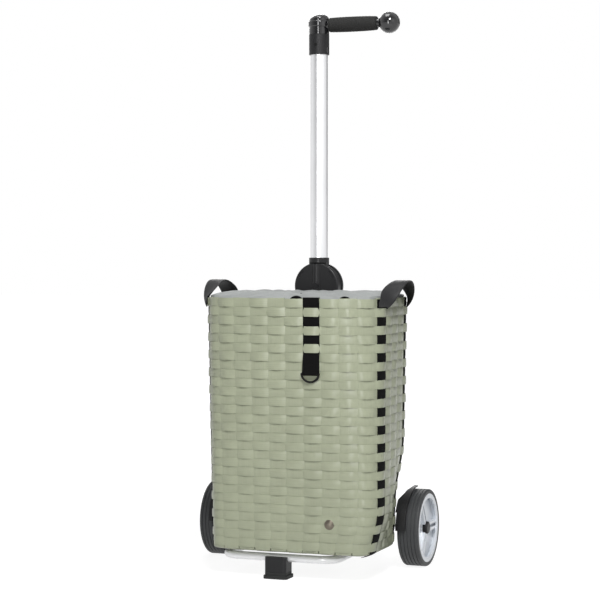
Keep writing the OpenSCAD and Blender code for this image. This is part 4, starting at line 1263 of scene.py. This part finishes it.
@dataclass
class Liner:
    """The cloth tub in the basket, whose gathered top closes round an open mouth.

    Attributes:
        basket: The wall that it lines.
        inset: How far the cloth lies inside the wall's middle plane.
        mouth: Half the mouth's width and depth.
        rim_drop: How far below the rim the cloth turns in.
        rise: How far the gathered top stands above that.
        crown: Where on half a sine wave the top starts, how much of the wave it covers, and its exponent.
        gathers: Waves of the gathers: how many run round the mouth, and how high each is.
        gather_sum: Height of these waves together that counts as 1.
        gather_h: Height of the gathers at the rim, and how much it grows up to the mouth.
        bunch: How unevenly the gathers are spread.
        mouth_waver: How unevenly the mouth's edge runs, as a share.
        mouth_turn: How far round that is turned against the gathers, as a share.
        cloth: Thickness of the cloth.
        length: Length of the cloth, from the floor's middle to the mouth.
        split: Share of the mesh steps along the cloth that line the tub.
        floor_share: Share of these that lie on the floor.
        hole: Size of the hole that is left at the floor's middle, as a share.
        floor_up: How high the floor lies above the wall's foot.
        floor_waver: How far the floor rises in its folds.
        slack: How far the cloth hangs off the wall, between its folds.
        fade: Exponents with which the slack ends and the dips start, up the wall.
        hem: Radius of the hem round the mouth.
        pucker: How deep the hem's puckers are, as a share of its radius.
        puckers: How many it has.
        dips: Stakes beside the front webbing at which the cloth sinks away from the rim.
        dip_w: Half the width of such a dip, in stakes.
        dip: How far in and how far down the cloth sinks there.
        fold_r: Radius of the fold of black binding in each dip: a dark roll that is partly the binding and
            partly painted shade for the dip.
        fold_w: Half the width of such a fold, in half widths of a dip.
        fold_sunk: How far below the rim its ends lie.
        fold_up: How far its middle rises above these.
        fold_arch: Exponent of its arch: lower is fuller.
        steps: Mesh steps round the basket and along the cloth.
        hem_steps: Mesh steps round the hem's section.
        fold_steps: Mesh steps round a fold's section and along it.
    """

    basket: Basket
    inset: float = 3.6 * MM
    mouth: Pair = (100.0 * MM, 55.0 * MM)
    rim_drop: float = 3.0 * MM
    rise: float = 14.0 * MM
    crown: tuple[float, float, float] = (0.12, 0.82, 0.7)
    gathers: tuple[tuple[int, float], ...] = ((18, 1.0), (25, 0.7), (31, 0.5), (47, 0.35))
    gather_sum: float = 1.9
    gather_h: Pair = (0.4 * MM, 2.4 * MM)
    bunch: float = 1.4
    mouth_waver: float = 0.02
    mouth_turn: float = 0.3
    cloth: float = 0.7 * MM
    length: float = 660.0 * MM
    split: float = 0.5
    floor_share: float = 0.22
    hole: float = 0.004
    floor_up: float = 4.4 * MM
    floor_waver: float = 0.6 * MM
    slack: float = 1.1 * MM
    fade: tuple[int, int] = (6, 8)
    hem: float = 3.4 * MM
    pucker: float = 0.10
    puckers: int = 72
    dips: Pair = (0.1, 2.8)
    dip_w: float = 0.55
    dip: Pair = (7.0 * MM, 9.0 * MM)
    fold_r: Pair = (3.4 * MM, 2.5 * MM)
    fold_w: float = 0.62
    fold_sunk: float = 5.5 * MM
    fold_up: float = 7.5 * MM
    fold_arch: float = 0.6
    steps: tuple[int, int] = (360, 72)
    hem_steps: int = 14
    fold_steps: tuple[int, int] = (12, 28)

    def __post_init__(self) -> None:
        """Draws where the gathers' waves start."""
        chance = random.Random(SEED + 1)
        self.phases = [chance.uniform(0, math.tau) for _ in self.gathers]
        self.rim_z = self.basket.rim_z - self.rim_drop

    def ripple(self, share: float) -> float:
        """The gathers' height at a share of the way round, about -1 to 1."""
        angle, total = math.tau * share, 0.0
        for (count, size), phase in zip(self.gathers, self.phases):
            total += size * math.sin(count * angle + phase + self.bunch * math.sin(3 * angle + phase))
        return total / self.gather_sum

    def sink(self, share: float) -> float:
        """How far the cloth sinks beside the front webbing, from 0 to 1."""
        stakes = self.basket.stakes
        apart = [(share * stakes - 0.5 - dip + stakes / 2) % stakes - stakes / 2 for dip in self.dips]
        return sum(math.exp(-(gap / self.dip_w) ** 2) for gap in apart)

    def mouth_at(self, share: float) -> Vector:
        """The mouth's edge, from the basket's middle, in the direction of a point of the wall."""
        point, _ = self.basket.plan.at(share)
        angle = math.atan2(point.y, point.x)
        way = Vector((math.cos(angle), math.sin(angle), 0.0))
        reach = 1 / math.hypot(way.x / self.mouth[0], way.y / self.mouth[1])
        return way * (reach * (1 + self.mouth_waver * self.ripple(share + self.mouth_turn)))

    def cover(self, share: float, along: float) -> Vector:
        """A point of the gathered top.

        Args:
            share: Share of the way round.
            along: From 0 at the rim to 1 at the mouth.

        Returns:
            The point in the frame.
        """
        sunk = self.sink(share)
        (dip_in, dip_down), (low, growth) = self.dip, self.gather_h
        edge, normal = self.basket.plan.at(share)
        start = edge - normal * (self.inset + dip_in * sunk)
        place = start.lerp(self.mouth_at(share), along) + self.basket.plan.centre
        first, span, power = self.crown
        swell = math.sin(math.pi * min(1.0, first + span * along)) ** power
        z = self.rim_z + self.rise * swell - dip_down * sunk * (1 - along) ** 2
        return Vector((place.x, place.y, z + (low + growth * along) * self.ripple(share)))

    def tub(self, share: float, along: float) -> Vector:
        """A point of the lining below the rim: from the floor's middle at 0 to the rim at 1."""
        basket, floor_z = self.basket, self.basket.base_z + self.floor_up
        slack = self.slack * (1 + self.ripple(share))
        if along < self.floor_share:
            edge, normal = basket.foot_plan.at(share)
            reach = max(along / self.floor_share, self.hole)
            place = (edge * basket.base_scale - normal * (self.inset + slack)) * reach + basket.plan.centre
            waver = self.floor_waver * (1 + self.ripple(share * 2)) * reach * (1 - reach)
            return Vector((place.x, place.y, floor_z + waver))
        rise = (along - self.floor_share) / (1 - self.floor_share)
        ends, starts = self.fade
        sunk = slack * (1 - rise ** ends) + self.dip[0] * self.sink(share) * rise ** starts
        return basket.wall(share, floor_z + (self.rim_z - floor_z) * rise, -self.inset - sunk)

    def build(self) -> None:
        """Models and dresses the lining and the hem round its mouth."""
        def place(turn: float, share: float) -> Vector:
            """Lines the tub, then covers its top."""
            if share < self.split:
                return self.tub(turn, share / self.split)
            return self.cover(turn, (share - self.split) / (1 - self.split))

        perimeter, length = self.basket.plan.length, self.length
        sheet = surface("lining", self.steps, place, (perimeter, length), closed=True)
        piece = thickened("lining", [sheet], self.cloth, sharp=70.0)
        place_piece(piece, "frame", Slot.GREY_CLOTH, "liner")
        hem = self.hem_tube()

    def hem_tube(self) -> bpy.types.Object:
        """Models the gathered hem that the drawstring runs in."""
        def place(turn: float, share: float) -> Vector:
            """Sweeps a puckered round section along the mouth's edge."""
            edge = self.cover(turn, 1.0)
            out = (edge - self.basket.plan.centre) * Vector((1.0, 1.0, 0.0))
            angle = math.tau * share
            radius = self.hem * (1 + self.pucker * math.sin(math.tau * self.puckers * turn))
            return edge + (out.normalized() * math.cos(angle) + UP * math.sin(angle)) * radius

        steps, size = (self.steps[0], self.hem_steps), (2 * self.mouth[0], 20.0 * MM)
        ring = surface("hem_ring", steps, place, size, closed=True)
        # The dark folds join the hem: they are black binding and also painted shade in the dips.
        hem = joined("lining_hem", [ring, *(self.fold(number) for number in range(len(self.dips)))])
        edit_all(hem, lambda: bpy.ops.mesh.normals_make_consistent(inside=False))
        smooth(hem, 80.0)
        return place_piece(hem, "frame", Slot.BLACK_WEBBING, "drawstring_hem")

    def fold(self, number: int) -> bpy.types.Object:
        """Models a fold of black binding between the rim and the cloth: a dark roll that also stands in as
        painted shade in the dip.

        Args:
            number: Which of the dips it lies in.

        Returns:
            The bent roll of binding, with closed ends.
        """
        radius, half = self.fold_r[number], self.fold_w * self.dip_w

        def line(turn: float) -> Vector:
            """The fold's middle, from one end under the rim to the other."""
            share = self.basket.share(self.dips[number] + half * (2 * turn - 1))
            lift = self.fold_up * math.sin(math.pi * turn) ** self.fold_arch - self.fold_sunk
            return self.basket.wall(share, self.basket.rim_z + lift, -self.inset - radius)

        def place(turn: float, share: float) -> Vector:
            """Sweeps a round section along the fold."""
            step = 0.01
            ahead = line(min(share + step, 1.0)) - line(max(share - step, 0.0))
            side = ahead.cross(UP).normalized()
            angle, top = math.tau * turn, side.cross(ahead).normalized()
            return line(share) + (side * math.cos(angle) + top * math.sin(angle)) * radius

        size = (20.0 * MM, 50.0 * MM)
        roll = surface(f"binding_and_shade_fold_{number}", self.fold_steps, place, size, closed=True)
        edit_all(roll, lambda: bpy.ops.mesh.fill_holes(sides=0))
        return roll


@dataclass
class PoleTies:
    """Webbing loops that hold the basket's back to the pole.

    Attributes:
        thick: Thickness of the webbing.
        neck: Half the distance between the loop's two runs to the wall.
        flange: Half the width of the ends sewn to the wall.
        gap: Room between the webbing and the pole.
        tall: Height of a loop.
        steps: Mesh steps round the pole and up a loop.
    """

    thick: float = 1.3 * MM
    neck: float = 5.0 * MM
    flange: float = 30.0 * MM
    gap: float = 0.4 * MM
    tall: float = 28.0 * MM
    steps: tuple[int, int] = (40, 6)

    def build(self) -> None:
        """Models and dresses both loops, at the foot and at the top of their node's box."""
        low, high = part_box("pole_ties")
        route = self.route(low.y + self.thick / 2)
        loops = [self.loop(number, route, foot) for number, foot in enumerate((low.z, high.z - self.tall))]
        place_piece(joined("tie_loops", loops), "frame", Slot.BLACK_WEBBING, "pole_ties")

    def route(self, wall_y: float) -> Route:
        """A loop's route in plan, from one sewn end round the pole to the other.

        Args:
            wall_y: Where its ends lie on the wall.

        Returns:
            Points of the webbing's middle plane, as X and Y.
        """
        low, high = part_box("lower_pole")
        pole = middle_of("lower_pole")
        radius = (high.x - low.x) / 2 + self.gap + self.thick / 2
        start, steps = math.asin(self.neck / radius), self.steps[0]
        turns = [start + (math.tau - 2 * start) * step / steps for step in range(steps + 1)]
        ring = [(pole.x - radius * math.sin(turn), pole.y - radius * math.cos(turn)) for turn in turns]
        half = rounded_route([(pole.x - self.flange, wall_y), (pole.x - self.neck, wall_y), ring[0]], 2)
        return half[:-1] + ring + [(2 * pole.x - x, y) for x, y in half[-2::-1]]

    def loop(self, number: int, route: Route, foot: float) -> bpy.types.Object:
        """Models one loop.

        Args:
            number: Its number.
            route: The route that it follows in plan.
            foot: Height of its lower edge.

        Returns:
            The loop, with its thickness.
        """
        def place(along: float, across: float) -> Vector:
            """Stands the webbing on edge along the route."""
            x, y = route[round(along * (len(route) - 1))]
            return Vector((x, y, foot + self.tall * across))

        size = (route_length(route), self.tall)
        name = f"tie_{number}"
        return thickened(name, [surface(name, (len(route) - 1, self.steps[1]), place, size)], self.thick)


@dataclass
class FoamGrip:
    """The foam sleeve on the side handle: a soft barrel with rounded ends.

    Attributes:
        barrel: How much thicker its middle is than its root end.
        outline: Exponent of the barrel's outline: lower is fuller.
        lead: Share of that outline that is cut off at the root.
        ends: Radius of its rounded ends.
        slim: How much slimmer the barrel is than its node, on each side.
        dents: How many waves its faint dents are made of.
        dent: Height of each.
        dent_along: From how few to how many run along the grip.
        dent_round: From how few to how many run round it.
        steps: Mesh steps round it and along it.
    """

    barrel: float = 4.0 * MM
    outline: float = 0.6
    lead: float = 0.08
    ends: float = 2.5 * MM
    slim: float = 0.3 * MM
    dents: int = 6
    dent: float = 0.08 * MM
    dent_along: Pair = (20.0, 90.0)
    dent_round: tuple[int, int] = (1, 4)
    steps: tuple[int, int] = (64, 72)

    def build(self) -> None:
        """Models and dresses the grip."""
        low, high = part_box("foam_grip")
        middle, reach = middle_of("foam_grip"), (high.z - low.z) / 2
        chance = random.Random(SEED + 2)
        dents = [(chance.uniform(*self.dent_along), chance.uniform(0, math.tau),
                  chance.randint(*self.dent_round)) for _ in range(self.dents)]

        def place(turn: float, share: float) -> Vector:
            """Turns the barrel's outline about the rod, with faint dents."""
            x = low.x + (high.x - low.x) * share
            bow = math.sin(math.pi * min(1.0, self.lead + share * (1 - self.lead)))
            lack = max(0.0, self.ends - min(x - low.x, high.x - x))
            corner = self.ends - math.sqrt(max(0.0, self.ends ** 2 - lack ** 2))
            angle = math.tau * turn
            dent = sum(math.sin(rate * math.tau * share + phase + count * angle)
                       for rate, phase, count in dents)
            lost = self.barrel / 2 * (1 - bow ** self.outline) + corner + self.slim
            radius = reach - lost + self.dent * dent
            return Vector((x, middle.y + radius * math.cos(angle), middle.z + radius * math.sin(angle)))

        grip = swept("foam_sleeve", self.steps, place, (100.0 * MM, 100.0 * MM), sharp=50.0)
        place_piece(grip, "handle", Slot.FOAM, "foam_grip")


@dataclass
class HubCap:
    """The domed cap on the handle's hub, leaning to the side away from the grip.

    Attributes:
        drop: How much lower its crown is than the plain cap's top.
        edge: Height of its upright edge.
        sunk: How deep its foot sits in the hub.
        lean: How far it leans, in degrees.
        edge_share: Share of the mesh steps that lie on its edge and below it.
        crown: Where the dome's arc ends, in half turns.
        steps: Mesh steps round it and from its foot to its crown.
    """

    drop: float = 3.0 * MM
    edge: float = 1.5 * MM
    sunk: float = 4.0 * MM
    lean: float = 9.0
    edge_share: float = 0.3
    crown: float = 0.49
    steps: tuple[int, int] = (64, 40)

    def build(self) -> None:
        """Models and dresses the cap."""
        low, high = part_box("hub_cap")
        foot = middle_of("hub_cap")
        foot.z = low.z
        reach = (high.x - low.x) / 2
        rise = high.z - low.z - self.drop - self.edge
        tilt = Matrix.Rotation(math.radians(-self.lean), 3, "Y")

        def place(turn: float, share: float) -> Vector:
            """Turns the dome's outline about the leaning axis, from its foot to its crown."""
            arc = max(0.0, share - self.edge_share) / (1 - self.edge_share) * self.crown * math.pi
            upright = (self.edge + self.sunk) * min(1.0, share / self.edge_share) - self.sunk
            angle, out = math.tau * turn, reach * math.cos(arc)
            spot = Vector((out * math.cos(angle), out * math.sin(angle), rise * math.sin(arc) + upright))
            return foot + tilt @ spot

        cap = swept("hub_dome", self.steps, place, (100.0 * MM, 50.0 * MM), sharp=50.0)
        place_piece(cap, "handle", Slot.GLOSS_BLACK, "hub_cap")


# Studio

Place = tuple[float, float, float]


@dataclass(frozen=True)
class Lamp:
    """A soft lamp.

    Attributes:
        name: Its name.
        place: Where it hangs.
        target: The point that it faces.
        size: Its width and height.
        power: Its power in watts.
    """

    name: str
    place: Place
    target: Place
    size: Pair
    power: float

    def build(self) -> None:
        """Hangs the lamp."""
        data = bpy.data.lights.new(self.name, "AREA")
        data.shape = "RECTANGLE"
        data.size, data.size_y = self.size
        data.energy = self.power
        lamp = bpy.data.objects.new(self.name, data)
        lamp.location = self.place
        lamp.rotation_euler = (Vector(self.target) - Vector(self.place)).to_track_quat("-Z", "Y").to_euler()
        bpy.context.scene.collection.objects.link(lamp)


LAMPS = (
    Lamp("front_strip", (0.4, -2.8, 0.9), (0.0, 0.0, 0.9), (0.3, 1.7), 22.5),
    Lamp("side_lamp", (2.6, -1.3, 1.6), (0.0, 0.0, 0.5), (1.2, 1.2), 2.0),
    Lamp("overhead", (-0.05, -0.12, 1.95), (-0.05, -0.05, 0.5), (0.5, 0.5), 4.5),
    Lamp("top_lamp", (1.0, -1.8, 2.4), (0.0, 0.0, 0.4), (0.6, 0.6), 57.0),
    Lamp("back_lamp", (-1.0, 2.65, 1.5), (0.0, 0.0, 0.5), (1.0, 1.0), 18.0),
)


@dataclass
class Studio:
    """Floor, light and camera.

    Attributes:
        lens_px: Focal length in pixels of a frame that is frame_px wide.
        frame_px: Width of the photograph's frame.
        sensor: Width of the camera's sensor, in millimetres.
        yaw: How far round the camera stands from the front, in degrees.
        pitch: How far it looks down, in degrees.
        distance: From the camera to the point that it circles, in metres.
        height: Height of the lens.
        slide: How far the camera is shifted to its right.
        aim_y: How far in front of the pole the point lies that the camera circles.
        floor_size: Length of the floor's sides.
        floor_pale: How light the floor is where it lights the object.
        floor_catch: How much of the light it shows where it is seen.
        floor_glow: The floor's own white beside the object.
        floor_fade: From which distance to which the floor turns pure white.
        surround: Light of the surround on the object.
        ways: Directions that the surround's gloss depends on: the camera's own, straight back, to the right.
        gloss: For each of these, the gloss away from it and towards it, and from where to where it changes.
    """

    lens_px: float = 1845.0
    frame_px: float = 600.0
    sensor: float = 36.0
    yaw: float = 20.6
    pitch: float = 1.47
    distance: float = 3.657
    height: float = 0.612
    slide: float = -0.032
    aim_y: float = 0.0173
    floor_size: float = 40.0
    floor_pale: float = 0.70
    floor_catch: float = 0.22
    floor_glow: float = 0.90
    floor_fade: Pair = (0.5, 1.6)
    surround: float = 0.20
    ways: tuple[Place, Place, Place] = ((-0.352, 0.936, 0.0), (0.0, 1.0, 0.0), (0.911, -0.413, 0.0))
    gloss: tuple[tuple[float, ...], ...] = (
        (0.20, 0.85, -0.75, 0.0), (1.0, 0.10, 0.55, 0.90), (0.0, 1.0, 0.60, 0.85))

    def camera(self) -> None:
        """Makes the camera at the photograph's viewing angle."""
        yaw, pitch = math.radians(self.yaw), math.radians(self.pitch)
        look = Vector((-math.sin(yaw) * math.cos(pitch), math.cos(yaw) * math.cos(pitch), -math.sin(pitch)))
        right = Vector((math.cos(yaw), math.sin(yaw), 0.0))
        aim = Vector((0.0, middle_of("lower_pole").y - self.aim_y, 0.0))
        place = aim - look * self.distance + right * self.slide
        place.z = self.height
        data = bpy.data.cameras.new("camera")
        data.sensor_width = self.sensor
        data.lens = self.lens_px * self.sensor / self.frame_px
        camera = bpy.data.objects.new("camera", data)
        camera.location = place
        camera.rotation_euler = look.to_track_quat("-Z", "Y").to_euler()
        bpy.context.scene.collection.objects.link(camera)
        bpy.context.scene.camera = camera

    def floor(self) -> None:
        """Lays a pale floor that shows white to the camera and keeps the shadow."""
        deselect()
        bpy.ops.mesh.primitive_plane_add(size=self.floor_size)
        floor = bpy.context.active_object
        floor.name = "floor"
        material = bpy.data.materials.new("floor")
        material.use_nodes = True
        graph = Graph(material.node_tree)
        material.node_tree.nodes.clear()
        path = graph.add("LightPath")
        seen = graph.math("MAXIMUM", path.outputs["Is Camera Ray"], path.outputs["Is Glossy Ray"])
        pale, catch = (graph.add("BsdfDiffuse", {"Color": (grey, grey, grey, 1.0)}).outputs[0]
                       for grey in (self.floor_pale, self.floor_catch))
        away = graph.add("VectorMath", {0: graph.place("Object")}, operation="LENGTH").outputs["Value"]
        level = graph.spread(away, self.floor_glow, 1.0, *self.floor_fade)
        glow = graph.add("Emission", {"Color": (1.0, 1.0, 1.0, 1.0), "Strength": level}).outputs[0]
        white = graph.add("AddShader", {0: catch, 1: glow}).outputs[0]
        mix = graph.add("MixShader", {0: seen, 1: pale, 2: white})
        graph.add("OutputMaterial", {"Surface": mix.outputs[0]})
        floor.data.materials.append(material)

    def world(self) -> None:
        """Sets a white surround for the camera and for gloss, and a softer one as light."""
        world = bpy.context.scene.world or bpy.data.worlds.new("world")
        bpy.context.scene.world = world
        world.use_nodes = True
        world.node_tree.nodes.clear()
        graph = Graph(world.node_tree)
        path = graph.add("LightPath")
        seen = graph.math("MAXIMUM", path.outputs["Is Camera Ray"], path.outputs["Is Transmission Ray"])
        parts = []
        for aim, levels in zip(self.ways, self.gloss):
            part = graph.add("VectorMath", {0: graph.place("Generated"), 1: aim}, operation="DOT_PRODUCT")
            parts.append(graph.spread(part.outputs["Value"], *levels))
        facing, back, right = parts
        sides = graph.math("MAXIMUM", graph.math("MULTIPLY", facing, back), right)
        gloss = graph.math("MULTIPLY", path.outputs["Is Glossy Ray"], sides)
        level = graph.math("MAXIMUM", graph.math("MAXIMUM", seen, gloss), self.surround)
        light = graph.add("Background", {"Color": (1.0, 1.0, 1.0, 1.0), "Strength": level})
        graph.add("OutputWorld", {"Surface": light.outputs[0]})

    def build(self) -> None:
        """Sets up the whole studio."""
        bpy.context.scene.view_settings.view_transform = "Standard"
        self.camera()
        self.floor()
        self.world()
        for lamp in LAMPS:
            lamp.build()


def main() -> None:
    """Builds every sub-assembly and its surroundings, and reports each piece."""
    logging.basicConfig(level=logging.INFO, format="%(name)s: %(message)s")
    Studio().build()
    basket = Basket()
    basket.build()
    for side, lean in HANDLE_LEAN.items():
        LoopHandle(basket, side, lean).build()
    Liner(basket).build()
    PoleTies().build()
    FoamGrip().build()
    HubCap().build()
    dress_frame()


if __name__ == "__main__":
    main()
